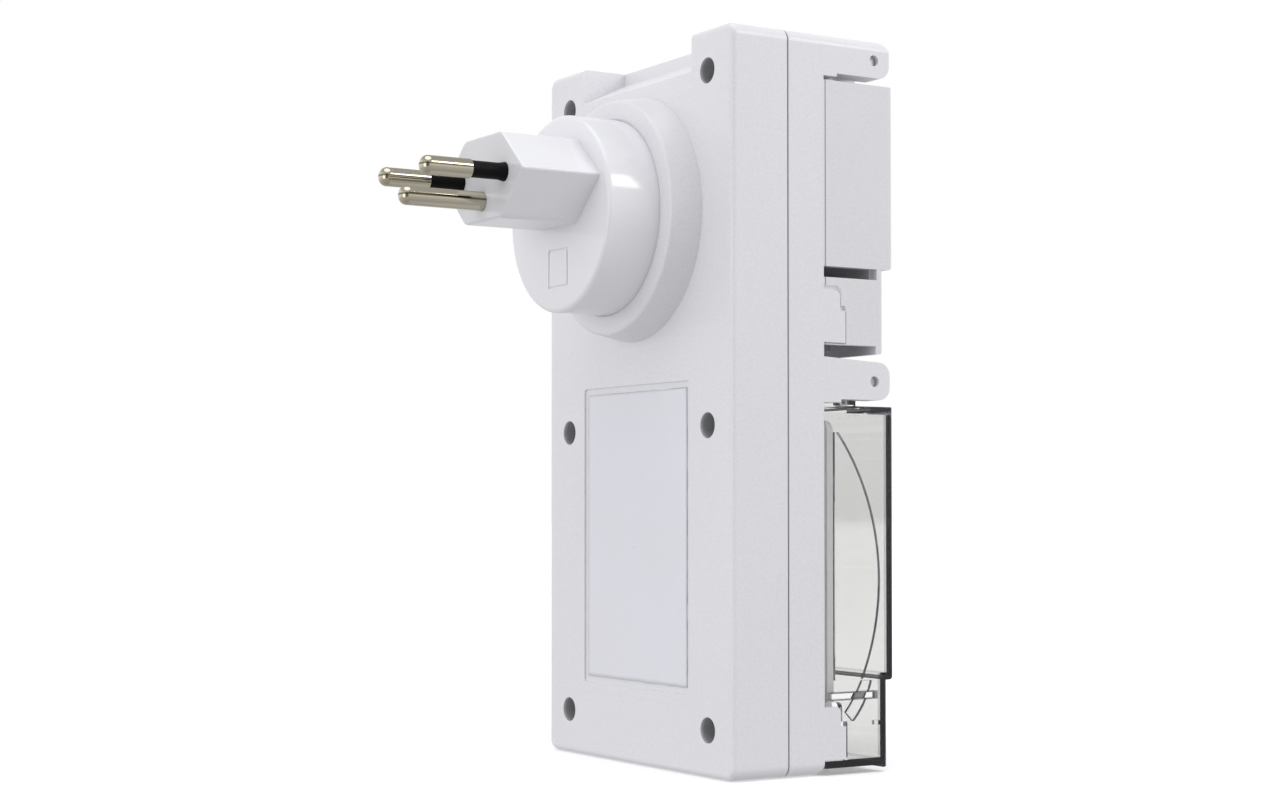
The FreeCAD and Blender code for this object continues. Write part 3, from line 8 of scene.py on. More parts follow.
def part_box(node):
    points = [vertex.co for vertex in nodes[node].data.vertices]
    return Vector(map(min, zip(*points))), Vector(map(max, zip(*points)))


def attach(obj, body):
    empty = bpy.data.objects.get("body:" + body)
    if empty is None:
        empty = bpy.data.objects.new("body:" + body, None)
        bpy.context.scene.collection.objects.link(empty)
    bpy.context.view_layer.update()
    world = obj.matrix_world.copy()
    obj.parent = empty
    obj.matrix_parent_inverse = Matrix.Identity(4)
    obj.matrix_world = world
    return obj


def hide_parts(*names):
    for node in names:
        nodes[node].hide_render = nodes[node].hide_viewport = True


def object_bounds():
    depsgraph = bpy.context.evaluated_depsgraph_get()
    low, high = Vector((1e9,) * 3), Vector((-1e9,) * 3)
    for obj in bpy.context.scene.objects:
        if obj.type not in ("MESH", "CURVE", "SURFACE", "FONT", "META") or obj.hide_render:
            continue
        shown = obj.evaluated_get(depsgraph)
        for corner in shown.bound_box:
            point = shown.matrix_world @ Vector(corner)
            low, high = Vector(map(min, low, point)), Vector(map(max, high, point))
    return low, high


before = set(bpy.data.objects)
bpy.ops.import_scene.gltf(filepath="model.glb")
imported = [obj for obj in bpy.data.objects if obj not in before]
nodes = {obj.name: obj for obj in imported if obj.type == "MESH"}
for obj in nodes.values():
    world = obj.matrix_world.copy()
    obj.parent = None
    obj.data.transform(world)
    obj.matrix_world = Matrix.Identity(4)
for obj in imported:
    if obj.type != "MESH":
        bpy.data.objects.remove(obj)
cad_low, cad_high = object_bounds()
MM = 0.001
WHITE = (1.0, 1.0, 1.0, 1.0)


def new_object(name, data):
    """An object in the scene that holds a mesh, lamp or camera."""
    made = bpy.data.objects.new(name, data)
    bpy.context.scene.collection.objects.link(made)
    return made


def mesh_object(name, shape, look):
    """A bmesh shape as an object in one look."""
    mesh = bpy.data.meshes.new(name)
    shape.to_mesh(mesh)
    shape.free()
    mesh.materials.append(look.material)
    return new_object(name, mesh)


def aim(thing, direction, up):
    """Turns a camera or lamp, which looks along its own -Z, in a direction."""
    thing.rotation_mode = "QUATERNION"
    thing.rotation_quaternion = Vector(direction).to_track_quat("-Z", up)


def add_node(tree, kind, **values):
    """A new node with some of its inputs set; an underscore stands for the space in an input's name."""
    made = tree.nodes.new(kind)
    for key, value in values.items():
        made.inputs[key.replace("_", " ")].default_value = value
    return made


# Camera: the photo's place and direction, in pixels of the photo, degrees and millimetres

LENS_PX = 2209.2
PHOTO_W = 1271.0
HORIZON_RISE_PX = 107.2
PITCH = math.radians(1.4)
AZIMUTH = math.radians(238.192)
CAMERA_MM = (-406.88, 214.75, -68.69)
SENSOR_W = 36.0
CLIP_M = (0.01, 50.0)


def make_camera():
    """The photo's camera, which is level and shifted; here a little of the shift is pitch instead."""
    data = bpy.data.cameras.new("camera")
    data.sensor_width = SENSOR_W
    data.lens = SENSOR_W * LENS_PX / PHOTO_W
    data.shift_y = (HORIZON_RISE_PX - LENS_PX * math.tan(PITCH)) / PHOTO_W
    data.clip_start, data.clip_end = CLIP_M
    camera = new_object("camera", data)
    camera.location = Vector(CAMERA_MM) * MM
    ahead = Vector((-math.sin(AZIMUTH), math.cos(AZIMUTH), 0.0))
    aim(camera, ahead * math.cos(PITCH) + Vector((0, 0, math.sin(PITCH))), "Y")
    bpy.context.scene.camera = camera


# Studio: a white backdrop, a dome that lights the object, two softboxes, an overhead lamp and the floor

# The dome's brightness by height, from 0 at the bottom to 1 at the top
DOME = [(0.0, 0.36), (0.45, 0.62), (0.52, 0.84), (0.64, 0.98), (0.78, 0.62), (1.0, 0.34)]
DOME_BLUE = 1.02
DOME_STRENGTH = 1.21
# The dark part of the room: its direction, where it sets in and what is left of the light there
DARK_ROOM = (-0.80, 0.60, 0.05)
DARK_EDGE = (0.82, 0.95)
DARK_SHARE = 0.22
SUN_ENERGY = 1.22
SUN_ANGLE = math.radians(60)
SUN_COLOUR = (0.97, 0.98, 1.0)
SUN_RAYS = (0.10, -0.10, -0.99)
# Place and target in metres, width and height in metres, power in watts
SOFTBOXES = {
    "key_box": ((-0.56, -0.46, 0.39), (0, -0.02, 0), (0.17, 0.30), 1.20),
    "fill_box": ((-0.25, 1.10, -0.05), (0, -0.02, -0.04), (0.8, 0.8), 2.5),
}
FLOOR_HALF_M = 6.0
FLOOR_CELLS = 8
FLOOR_DROP = 0.2 * MM
FLOOR_GLOW = 0.22


def make_world():
    """A dome whose brightness goes by height, dimmed on one side, where the pins mirror a dark room."""
    world = bpy.data.worlds.new("studio")
    world.use_nodes = True
    bpy.context.scene.world = world
    tree = world.node_tree
    link = tree.links.new
    place = add_node(tree, "ShaderNodeTexCoord").outputs["Generated"]
    split = add_node(tree, "ShaderNodeSeparateXYZ")
    link(place, split.inputs[0])
    height = add_node(tree, "ShaderNodeMapRange", From_Min=-1.0)
    link(split.outputs["Z"], height.inputs["Value"])
    ramp = add_node(tree, "ShaderNodeValToRGB")
    steps = ramp.color_ramp.elements
    while len(steps) < len(DOME):
        steps.new(0.5)
    for step, (position, value) in zip(steps, DOME):
        step.position = position
        step.color = (value, value, value * DOME_BLUE, 1.0)
    link(height.outputs[0], ramp.inputs[0])
    toward = add_node(tree, "ShaderNodeVectorMath")
    toward.operation = "DOT_PRODUCT"
    toward.inputs[1].default_value = DARK_ROOM
    link(place, toward.inputs[0])
    start, end = DARK_EDGE
    room = add_node(tree, "ShaderNodeMapRange", From_Min=start, From_Max=end, To_Min=1.0, To_Max=DARK_SHARE)
    link(toward.outputs["Value"], room.inputs["Value"])
    strength = add_node(tree, "ShaderNodeMath")
    strength.operation = "MULTIPLY"
    strength.inputs[1].default_value = DOME_STRENGTH
    link(room.outputs[0], strength.inputs[0])
    dome = tree.nodes["Background"]
    link(ramp.outputs[0], dome.inputs["Color"])
    link(strength.outputs[0], dome.inputs["Strength"])
    backdrop = add_node(tree, "ShaderNodeBackground", Color=WHITE)
    seen = add_node(tree, "ShaderNodeLightPath")
    mix = add_node(tree, "ShaderNodeMixShader")
    link(seen.outputs["Is Camera Ray"], mix.inputs[0])
    link(dome.outputs[0], mix.inputs[1])
    link(backdrop.outputs[0], mix.inputs[2])
    link(mix.outputs[0], tree.nodes["World Output"].inputs["Surface"])


def softbox(name, place, target, size, energy):
    """A rectangular area lamp turned to a target."""
    data = bpy.data.lights.new(name, "AREA")
    data.shape = "RECTANGLE"
    data.size, data.size_y = size
    data.energy = energy
    lamp = new_object(name, data)
    lamp.location = place
    aim(lamp, Vector(target) - Vector(place), "Z")


def light_scene():
    """The overhead lamp and the softboxes."""
    data = bpy.data.lights.new("overhead", "SUN")
    data.energy = SUN_ENERGY
    data.angle = SUN_ANGLE
    data.color = SUN_COLOUR
    aim(new_object("overhead", data), SUN_RAYS, "Y")
    for name, settings in SOFTBOXES.items():
        softbox(name, *settings)


def make_stage():
    """The plain pale floor, which throws no light, mirror image or shadow on the object."""
    shape = bmesh.new()
    bmesh.ops.create_grid(shape, x_segments=FLOOR_CELLS, y_segments=FLOOR_CELLS, size=FLOOR_HALF_M)
    look = Look("floor_white", (0.93, 0.93, 0.93), 0.85)
    look.mottle(3.0, 0.01)
    look.sockets(Emission_Color=WHITE, Emission_Strength=FLOOR_GLOW)
    floor = mesh_object("floor", shape, look)
    floor.location = (0, 0, cad_low.z - FLOOR_DROP)
    floor.visible_diffuse = False
    floor.visible_glossy = False
    floor.visible_shadow = False


# Materials: the layers that they are built from

# The colour sockets of a Mix node: what lies under, what lies over, and the result
MIX_UNDER = 6
MIX_OVER = 7
MIX_RESULT = 2
# The middle range of a noise, which is spread over the whole range of what it varies
NOISE_LOW = 0.35
NOISE_HIGH = 0.65
MOTTLE_DETAIL = 4.0
GLOSS_DETAIL = 3.0


class Look:
    """A node material on the Principled shader, built up from procedural layers."""

    def __init__(self, name, colour, roughness, metallic=0.0):
        self.material = bpy.data.materials.new(name)
        self.material.use_nodes = True
        self.tree = self.material.node_tree
        self.shader = self.tree.nodes["Principled BSDF"]
        self.colour = tuple(colour) + (1.0,)
        self.sockets(Base_Color=self.colour, Roughness=roughness, Metallic=metallic)
        self.place = self.node("ShaderNodeTexCoord").outputs["Object"]
        self.axes = None
        self.paint = None
        self.relief = None

    def sockets(self, **values):
        """Sets plain values on the shader itself."""
        for key, value in values.items():
            self.shader.inputs[key.replace("_", " ")].default_value = value

    def node(self, kind, **values):
        """A new node in this material."""
        return add_node(self.tree, kind, **values)

    def link(self, output, socket):
        """Joins an output to an input socket."""
        self.tree.links.new(output, socket)

    def axis(self, name):
        """The place along X, Y or Z, in metres."""
        if self.axes is None:
            self.axes = self.node("ShaderNodeSeparateXYZ")
            self.link(self.place, self.axes.inputs[0])
        return self.axes.outputs[name]

    def noise(self, scale, detail=2.0, stretch=None):
        """Noise by place, with its scale per metre; stretch draws it out along an axis."""
        made = self.node("ShaderNodeTexNoise", Scale=scale, Detail=detail)
        place = self.place
        if stretch:
            mapping = self.node("ShaderNodeMapping", Scale=stretch)
            self.link(place, mapping.inputs["Vector"])
            place = mapping.outputs[0]
        self.link(place, made.inputs["Vector"])
        return made.outputs[0]

    def spread(self, value, low, high, start=NOISE_LOW, end=NOISE_HIGH):
        """Maps a value between start and end onto the range from low to high."""
        made = self.node("ShaderNodeMapRange", From_Min=start, From_Max=end, To_Min=low, To_Max=high)
        self.link(value, made.inputs["Value"])
        return made.outputs[0]

    def maths(self, operation, a, b=0.0):
        """One step of arithmetic; b may be a number."""
        made = self.node("ShaderNodeMath")
        made.operation = operation
        self.link(a, made.inputs[0])
        if isinstance(b, float):
            made.inputs[1].default_value = b
        else:
            self.link(b, made.inputs[1])
        return made.outputs[0]

    def fold(self, operation, values):
        """One operation over all the values, two by two."""
        whole = values[0]
        for value in values[1:]:
            whole = self.maths(operation, whole, value)
        return whole

    def all_of(self, *masks):
        """One where every mask is one."""
        return self.fold("MULTIPLY", masks)

    def any_of(self, *masks):
        """One where at least one mask is one."""
        return self.fold("MAXIMUM", masks)

    def band(self, value, low, high, soft=0.05):
        """One between low and high and zero outside, in millimetres, with soft ends."""
        rise = self.spread(value, 0.0, 1.0, (low - soft) * MM, (low + soft) * MM)
        fall = self.spread(value, 1.0, 0.0, (high - soft) * MM, (high + soft) * MM)
        return self.maths("MULTIPLY", rise, fall)

    def distance(self, a, b, a_mm, b_mm):
        """How far two coordinates lie from a point that is given in millimetres."""
        squares = []
        for value, middle in ((a, a_mm), (b, b_mm)):
            away = self.maths("SUBTRACT", value, middle * MM)
            squares.append(self.maths("MULTIPLY", away, away))
        return self.maths("SQRT", self.maths("ADD", *squares))

    def paint_over(self, amount, colour):
        """Mixes a colour over the base where amount is one."""
        mix = self.node("ShaderNodeMix")
        mix.data_type = "RGBA"
        if self.paint is None:
            mix.inputs[MIX_UNDER].default_value = self.colour
        else:
            self.link(self.paint, mix.inputs[MIX_UNDER])
        mix.inputs[MIX_OVER].default_value = tuple(colour) + (1.0,)
        self.link(amount, mix.inputs["Factor"])
        self.paint = mix.outputs[MIX_RESULT]
        self.link(self.paint, self.shader.inputs["Base Color"])

    def mottle(self, scale, amount, tint=(0.0, 0.0, 0.0)):
        """Slight variation of the colour towards a tint."""
        self.paint_over(self.spread(self.noise(scale, MOTTLE_DETAIL), 0.0, amount * 2), tint)

    def rough(self, scale, low, high, stretch=None):
        """Roughness that varies from low to high."""
        varied = self.spread(self.noise(scale, GLOSS_DETAIL, stretch), low, high)
        self.link(varied, self.shader.inputs["Roughness"])

    def bump(self, height, strength, depth):
        """A relief on top of any earlier one; depth is in metres."""
        made = self.node("ShaderNodeBump", Strength=strength, Distance=depth)
        self.link(height, made.inputs["Height"])
        if self.relief is not None:
            self.link(self.relief, made.inputs["Normal"])
        self.relief = made.outputs[0]
        self.link(self.relief, self.shader.inputs["Normal"])


# Materials: the three families. Noise scales are per metre

CLOUD_SCALE = 45.0
CLOUD_AMOUNT = 0.015
FLECK_SCALE = 2300.0
SATIN_SCALE = 70.0
GRAIN_SCALE = 4200.0
GRAIN_DEPTH = 0.02 * MM
WAVE_SCALE = 90.0
WAVE_STRENGTH = 0.05
WAVE_DEPTH = 0.08 * MM
PLASTIC_IOR = 1.49
TARNISH_SCALE = 220.0
TARNISH_AMOUNT = 0.04
BRUSH_SCALE = 160.0
SCRATCH_SCALE = 2600.0
SCRATCH_DEPTH = 0.02 * MM
FLOW_GLOSS_SCALE = 60.0
FLOW_SCALE = 55.0
FLOW_DEPTH = 0.3 * MM


def shade_of(colour, share):
    """The colour times a share."""
    return tuple(c * share for c in colour)


def moulded(name, colour, roughness, grain=0.12, fleck=0.0):
    """Injection-moulded plastic with a fine spark-eroded surface."""
    look = Look(name, colour, roughness)
    look.mottle(CLOUD_SCALE, CLOUD_AMOUNT, shade_of(colour, 0.7))
    if fleck:
        look.mottle(FLECK_SCALE, fleck, shade_of(colour, 0.5))
    look.rough(SATIN_SCALE, roughness - 0.03, roughness + 0.04)
    look.bump(look.noise(GRAIN_SCALE, 2.0), grain, GRAIN_DEPTH)
    look.bump(look.noise(WAVE_SCALE, 1.0), WAVE_STRENGTH, WAVE_DEPTH)
    look.sockets(IOR=PLASTIC_IOR)
    return look


def metal(name, colour, roughness, stretch=None, scratch=0.15):
    """Plated or drawn metal with fine marks, which stretch draws out along an axis."""
    look = Look(name, colour, roughness, 1.0)
    look.mottle(TARNISH_SCALE, TARNISH_AMOUNT, shade_of(colour, 0.6))
    look.rough(BRUSH_SCALE, roughness * 0.8, roughness * 1.3, stretch)
    look.bump(look.noise(SCRATCH_SCALE, 3.0, stretch), scratch, SCRATCH_DEPTH)
    return look


def clear(name, tint, roughness):
    """Clear moulded plastic with a slight tint and faint flow marks."""
    look = Look(name, tint, roughness)
    look.sockets(Transmission_Weight=1.0, IOR=PLASTIC_IOR)
    look.rough(FLOW_GLOSS_SCALE, roughness * 0.7, roughness * 1.6)
    look.bump(look.noise(FLOW_SCALE, 2.0), 0.05, FLOW_DEPTH)
    return look


# Case, plug and white lid: their plastic, and the painted shade in holes, joints and on the plug's end and
# the painted light in the cheek gaps, in millimetres

HOLE_X = 28.3
HOLE_ROWS = (21.6, -51.8, -114.5)
HOLE_R = 2.7
HOLE_RIM = 0.08
# Painted shade deep inside the six screw holes
HOLE_SHADE_TONE = (0.42, 0.425, 0.435)
BACK_Y = -37.5
MOUTH_DEPTH = 0.9
SEAM_Y = -51.4
LID_BACK_Y = -60.92
JOINT_HALF = 0.14
JOINT_SOFT = 0.04
JOINT_SHADE_TONE = (0.26, 0.26, 0.28)
CHEEK_Y = (-67.0, -60.9)
CHEEK_Z = (-34.6, -22.2)
CHEEK_CASE_X = (36.5, 37.42)
CHEEK_LID_X = (36.4, 37.42)
# Painted light over the shade in the gap round the cheeks
CHEEK_GAP_LIGHT_TONE = (0.98, 0.98, 0.98)
PLUG_END_Y = (-0.25, -0.05)
PLUG_END_SHADE_TONE = (0.71, 0.71, 0.73)
WHITE_FLECK = 0.06
SKIN_DEPTH = (2 * MM, 2 * MM, 2 * MM)


def shade_holes(look):
    """Painted shade: darkens the walls and floors of the six screw holes in the back, for the shade deep
    inside them.
    """
    aside = look.maths("ABSOLUTE", look.axis("X"))
    reaches = [look.distance(aside, look.axis("Z"), HOLE_X, row) for row in HOLE_ROWS]
    inside = look.spread(look.fold("MINIMUM", reaches), 1.0, 0.0, HOLE_R * MM, (HOLE_R + HOLE_RIM) * MM)
    deep = look.spread(look.axis("Y"), 1.0, 0.0, (BACK_Y - MOUTH_DEPTH) * MM, BACK_Y * MM)
    look.paint_over(look.all_of(inside, deep), HOLE_SHADE_TONE)


def shade_joint(look, y):
    """Painted shade: a thin dark line where two mouldings meet, for the shade in the narrow gap between
    them.
    """
    look.paint_over(look.band(look.axis("Y"), y - JOINT_HALF, y + JOINT_HALF, JOINT_SOFT), JOINT_SHADE_TONE)


def paint_light_in_cheek_gap(look, cheek_x):
    """Painted light: lightens the walls in the narrow gap round the white lid's cheeks, whose shade would
    read as a black line.
    """
    aside = look.maths("ABSOLUTE", look.axis("X"))
    near = look.all_of(look.band(aside, *cheek_x), look.band(look.axis("Z"), *CHEEK_Z),
                       look.band(look.axis("Y"), *CHEEK_Y))
    look.paint_over(near, CHEEK_GAP_LIGHT_TONE)


def case_look():
    """The case's plastic, which lets a little light under its skin."""
    look = moulded("case_white", (0.805, 0.80, 0.825), 0.32, fleck=WHITE_FLECK)
    look.sockets(Subsurface_Weight=0.04, Subsurface_Radius=SKIN_DEPTH, Subsurface_Scale=1.0)
    shade_holes(look)
    # Painted shade along the seam between the two shells
    shade_joint(look, SEAM_Y)
    paint_light_in_cheek_gap(look, CHEEK_CASE_X)
    return look


def plug_look():
    """The plug's smooth plastic, with painted shade that makes the block's end face a little darker than
    its disc.
    """
    look = moulded("plug_white", (0.83, 0.83, 0.855), 0.10, grain=0.02)
    start, end = PLUG_END_Y
    # Painted shade over the block's end face
    look.paint_over(look.spread(look.axis("Y"), 0.0, 1.0, start * MM, end * MM), PLUG_END_SHADE_TONE)
    return look


def lid_look():
    """The white lid's plastic."""
    look = moulded("lid_white", (0.755, 0.752, 0.775), 0.32, fleck=WHITE_FLECK)
    # Painted shade along the lid's back edge, where it meets the case
    shade_joint(look, LID_BACK_Y)
    paint_light_in_cheek_gap(look, CHEEK_LID_X)
    return look


def panel_look():
    """The control panel's plastic; a faint glow stands in for the light that the clear lid lets through."""
    look = moulded("panel_white", (0.86, 0.85, 0.87), 0.50)
    look.sockets(Emission_Color=WHITE, Emission_Strength=0.10)
    return look


# Pins: plated metal with painted dark reflection streaks, and their dull black sleeves

PIN_REFLECTION_STREAKS_Z = ((0.0, 0.38), (1.75, 2.1), (-5.0, -4.62), (-3.25, -2.9))
STREAK_SOFT = 0.1
STREAK_AMOUNT = 0.9
STREAK_REFLECTION_TONE = (0.09, 0.08, 0.045)


def pin_look():
    """Nickel with marks drawn out along the pins, and painted dark streaks that stand for the reflection of
    a dark room.
    """
    look = metal("pin_nickel", (0.54, 0.50, 0.395), 0.10, (1.0, 0.06, 1.0), 0.08)
    up = look.axis("Z")
    streaks = look.any_of(*[look.band(up, low, high, STREAK_SOFT) for low, high in PIN_REFLECTION_STREAKS_Z])
    # Painted reflection: dark streaks at fixed heights on the pins
    look.paint_over(look.maths("MULTIPLY", streaks, STREAK_AMOUNT), STREAK_REFLECTION_TONE)
    return look


def sleeve_look():
    """Black plastic with little shine."""
    look = moulded("sleeve_black", (0.003, 0.003, 0.003), 0.45)
    look.sockets(Specular_IOR_Level=0.12)
    return look


# Clear lid: what is painted dark on its side walls, a grey slot and painted shade on its thick edges, in
# millimetres

SIDE_X = 35.2
SIDE_SOFT = 0.02
PAD_X = (35.0, 36.1)
# The thick rims: y from and to, z from and to
RIMS = [
    (-79.4, -77.4, -105.3, -47.0),
    (-77.6, -75.65, -123.8, -104.0),
    (-77.6, -60.3, -123.8, -121.4),
    (-79.4, -72.6, -49.1, -47.0),
    (-79.4, -75.65, -105.3, -103.7),
]
SLOT_Y = (-74.5, -61.9)
SLOT_Z = (-109.0, -107.2)
SLOT_TONE = (0.22, 0.22, 0.22)
# Three points on each arc: the pad's edge and both edges of the rib below it
ARCS = [
    ((-64.7, -53.0), (-75.6, -84.0), (-71.0, -104.8)),
    ((-73.4, -105.1), (-71.56, -109.6), (-68.6, -113.5)),
    ((-71.0, -105.1), (-69.06, -108.5), (-66.7, -111.6)),
]
ARC_W = 0.34
ARC_MARGIN = 1.0
ARC_END_SOFT = 0.1
# Painted shade on the thick rims and along the arcs on the pad
CLEAR_EDGE_SHADE_TONE = (0.035, 0.035, 0.05)


def circle_of(a, b, c):
    """Centre and radius of the circle through three points."""
    d = 2 * (a[0] * (b[1] - c[1]) + b[0] * (c[1] - a[1]) + c[0] * (a[1] - b[1]))
    sa, sb, sc = (p[0] ** 2 + p[1] ** 2 for p in (a, b, c))
    y = (sa * (b[1] - c[1]) + sb * (c[1] - a[1]) + sc * (a[1] - b[1])) / d
    z = (sa * (c[0] - b[0]) + sb * (a[0] - c[0]) + sc * (b[0] - a[0])) / d
    return y, z, math.hypot(a[0] - y, a[1] - z)


def near_arc(look, points, width):
    """One along an arc in the YZ plane through three points, from the top one down to the lowest."""
    y, z, radius = circle_of(*points)
    reach = look.distance(look.axis("Y"), look.axis("Z"), y, z)
    ring = look.band(reach, radius - width / 2, radius + width / 2)
    stretch = look.band(look.axis("Z"), points[2][1], points[0][1], ARC_END_SOFT)
    places = [p[0] for p in points]
    front = look.band(look.axis("Y"), min(places) - ARC_MARGIN, max(places) + ARC_MARGIN)
    return look.all_of(ring, stretch, front)


def clear_lid_look():
    """The clear lid, with painted shade on its rims and the pad's edges, for the dark look that thick clear
    edges have.
    """
    look = clear("lid_clear", (0.815, 0.815, 0.80), 0.03)
    aside = look.maths("ABSOLUTE", look.axis("X"))
    along, up = look.axis("Y"), look.axis("Z")
    outside = look.spread(aside, 0.0, 1.0, (SIDE_X - SIDE_SOFT) * MM, SIDE_X * MM)
    slot = look.all_of(look.band(along, *SLOT_Y), look.band(up, *SLOT_Z), outside)
    look.paint_over(slot, SLOT_TONE)
    rims = [look.all_of(look.band(along, *rim[:2]), look.band(up, *rim[2:])) for rim in RIMS]
    arcs = [near_arc(look, points, ARC_W) for points in ARCS]
    on_side = look.all_of(look.any_of(*rims), outside)
    on_pad = look.all_of(look.any_of(*arcs), look.band(aside, *PAD_X))
    look.paint_over(look.any_of(on_side, on_pad), CLEAR_EDGE_SHADE_TONE)
    return look


# Label and display

PAPER_CLOUD_SCALE = 26.0
PAPER_CLOUD_AMOUNT = 0.30
PAPER_TINT = (0.79, 0.80, 0.92)
FIBRE_SCALE = 2600.0
FIBRE_DEPTH = 0.03 * MM
SPECK_SCALE = 520.0
SPECK_AMOUNT = 0.3
SPECK_TONE = (0.45, 0.46, 0.55)
# Painted shade along the label's edge, broken up by noise
LABEL_EDGE_SHADE_TONE = (0.30, 0.30, 0.33)
RIM_X = (20.05, 20.15)
RIM_TOP_Z = (-43.8, -43.65)
RIM_LOW_Z = (-106.4, -106.3)
RIM_BREAK_SCALE = 300.0


def paper_look():
    """The label's paper: bluish clouds, a few specks and a broken dark rim of painted shade along its edge.
    """
    look = Look("label_paper", (0.765, 0.763, 0.785), 0.42)
    look.mottle(PAPER_CLOUD_SCALE, PAPER_CLOUD_AMOUNT, PAPER_TINT)
    look.paint_over(look.spread(look.noise(SPECK_SCALE, 1.0), 0.0, SPECK_AMOUNT, 0.79, 0.83), SPECK_TONE)
    look.bump(look.noise(FIBRE_SCALE, 3.0), 0.10, FIBRE_DEPTH)
    rim = look.any_of(
        look.spread(look.maths("ABSOLUTE", look.axis("X")), 0.0, 1.0, RIM_X[0] * MM, RIM_X[1] * MM),
        look.spread(look.axis("Z"), 0.0, 1.0, RIM_TOP_Z[0] * MM, RIM_TOP_Z[1] * MM),
        look.spread(look.axis("Z"), 1.0, 0.0, RIM_LOW_Z[0] * MM, RIM_LOW_Z[1] * MM),
    )
    broken = look.spread(look.noise(RIM_BREAK_SCALE), 0.30, 0.75)
    look.paint_over(look.all_of(rim, broken), LABEL_EDGE_SHADE_TONE)
    return look


def glass_look():
    """The display's greenish grey glass."""
    look = Look("display_glass", (0.36, 0.41, 0.33), 0.12)
    look.mottle(80.0, 0.02)
    look.rough(90.0, 0.09, 0.14)
    return look


def segment_look():
    """The display's dark segments."""
    look = Look("display_segment", (0.035, 0.04, 0.035), 0.3)
    look.mottle(200.0, 0.05, (0.06, 0.07, 0.06))
    return look


# Every look by its short name, and what wears it

# Material, colour, roughness and, where it isn't the usual one, the strength of the grain
MOULDED = {
    "lip": ("lip_white", (0.86, 0.86, 0.885), 0.40),
    "outlet": ("outlet_white", (0.78, 0.78, 0.795), 0.30, 0.05),
    "carrier": ("carrier_grey", (0.40, 0.40, 0.41), 0.45),
    "key": ("key_grey", (0.20, 0.22, 0.25), 0.38),
    "black": ("black_plastic", (0.012, 0.012, 0.013), 0.40),
    "blue": ("relay_blue", (0.03, 0.12, 0.42), 0.38),
    "yellow": ("capacitor_yellow", (0.72, 0.52, 0.06), 0.35),
    "lacquer": ("resistor_lacquer", (0.42, 0.58, 0.60), 0.25),
    "board": ("board_green", (0.02, 0.20, 0.07), 0.35),
    "rubber": ("seal_rubber", (0.10, 0.10, 0.105), 0.75, 0.3),
    "seal": ("seal_silicone", (0.62, 0.62, 0.61), 0.55, 0.2),
    "silicone": ("mat_silicone", (0.55, 0.55, 0.53), 0.6, 0.2),
    "film": ("fascia_film", (0.16, 0.18, 0.21), 0.36),
    "print": ("print_white", (0.70, 0.71, 0.72), 0.42, 0.03),
}
# Material, colour and roughness
METALS = {
    "steel": ("zinc_steel", (0.52, 0.52, 0.54), 0.34),
    "wire": ("spring_wire", (0.55, 0.55, 0.56), 0.26),
    "copper": ("copper_strip", (0.80, 0.44, 0.26), 0.30),
    "brass": ("contact_brass", (0.82, 0.64, 0.30), 0.25),
    "can": ("can_metal", (0.66, 0.66, 0.66), 0.28),
}
KEYS = ["key_clock", "key_programme", "key_manual", "key_minus", "key_plus", "key_random"]
WEARS = {
    "case": ["rear_shell", "front_shell"],
    "plug": ["plug_insert"],
    "lid": ["socket_lid"],
    "outlet": ["outlet_collar"],
    "carrier": ["contact_carrier"],
    "panel": ["control_panel"],
    "key": KEYS + ["reset_button"],
    "sleeve": ["pin_sleeves"],
    "black": ["lcd_frame", "microcontroller", "smoothing_capacitor", "rectifier_diodes", "board_header"],
    "blue": ["relay", "varistor"],
    "yellow": ["film_capacitor"],
    "lacquer": ["dropper_resistor"],
    "board": ["control_board", "power_board"],
    "rubber": ["shell_gasket"],
    "seal": ["socket_seal", "display_seal"],
    "silicone": ["keypad_mat", "zebra_strips"],
    "pin": ["line_pin", "neutral_pin", "earth_pin"],
    "steel": ["housing_screws", "plug_insert_screws", "outlet_screws", "socket_lid_pin",
              "display_lid_pin", "panel_screws", "board_screws"],
    "wire": ["socket_lid_spring", "display_lid_spring"],
    "copper": ["line_link", "neutral_link", "load_link", "earth_link"],
    "brass": ["outlet_line_contact", "outlet_neutral_contact", "outlet_earth_contact", "fuse_clips"],
    "can": ["quartz_crystal", "backup_cell", "cell_clip", "fuse"],
    "paper": ["rating_label"],
    "film": ["fascia_film"],
    "clear": ["display_lid"],
    "window": ["display_window"],
    "display": ["lcd_glass"],
}


def make_materials():
    """Every look by its short name."""
    made = {key: moulded(*settings) for key, settings in MOULDED.items()}
    made.update((key, metal(*settings)) for key, settings in METALS.items())
    made.update(case=case_look(), plug=plug_look(), lid=lid_look(), panel=panel_look())
    made.update(pin=pin_look(), sleeve=sleeve_look(), clear=clear_lid_look(), paper=paper_look())
    made.update(display=glass_look(), segment=segment_look())
    made["window"] = clear("window_clear", (0.95, 0.96, 0.95), 0.02)
    return made


def dress_nodes(looks):
    """Gives every CAD node its look."""
    for look, names in WEARS.items():
        for name in names:
            mesh = nodes[name].data
            mesh.materials.clear()
            mesh.materials.append(looks[look].material)


# Flat pieces that face -Y: symbols, frames and display segments, in x and z millimetres

CIRCLE_SIDES = 32
CORNER_STEPS = 6
MITRE_LIMIT = 0.4


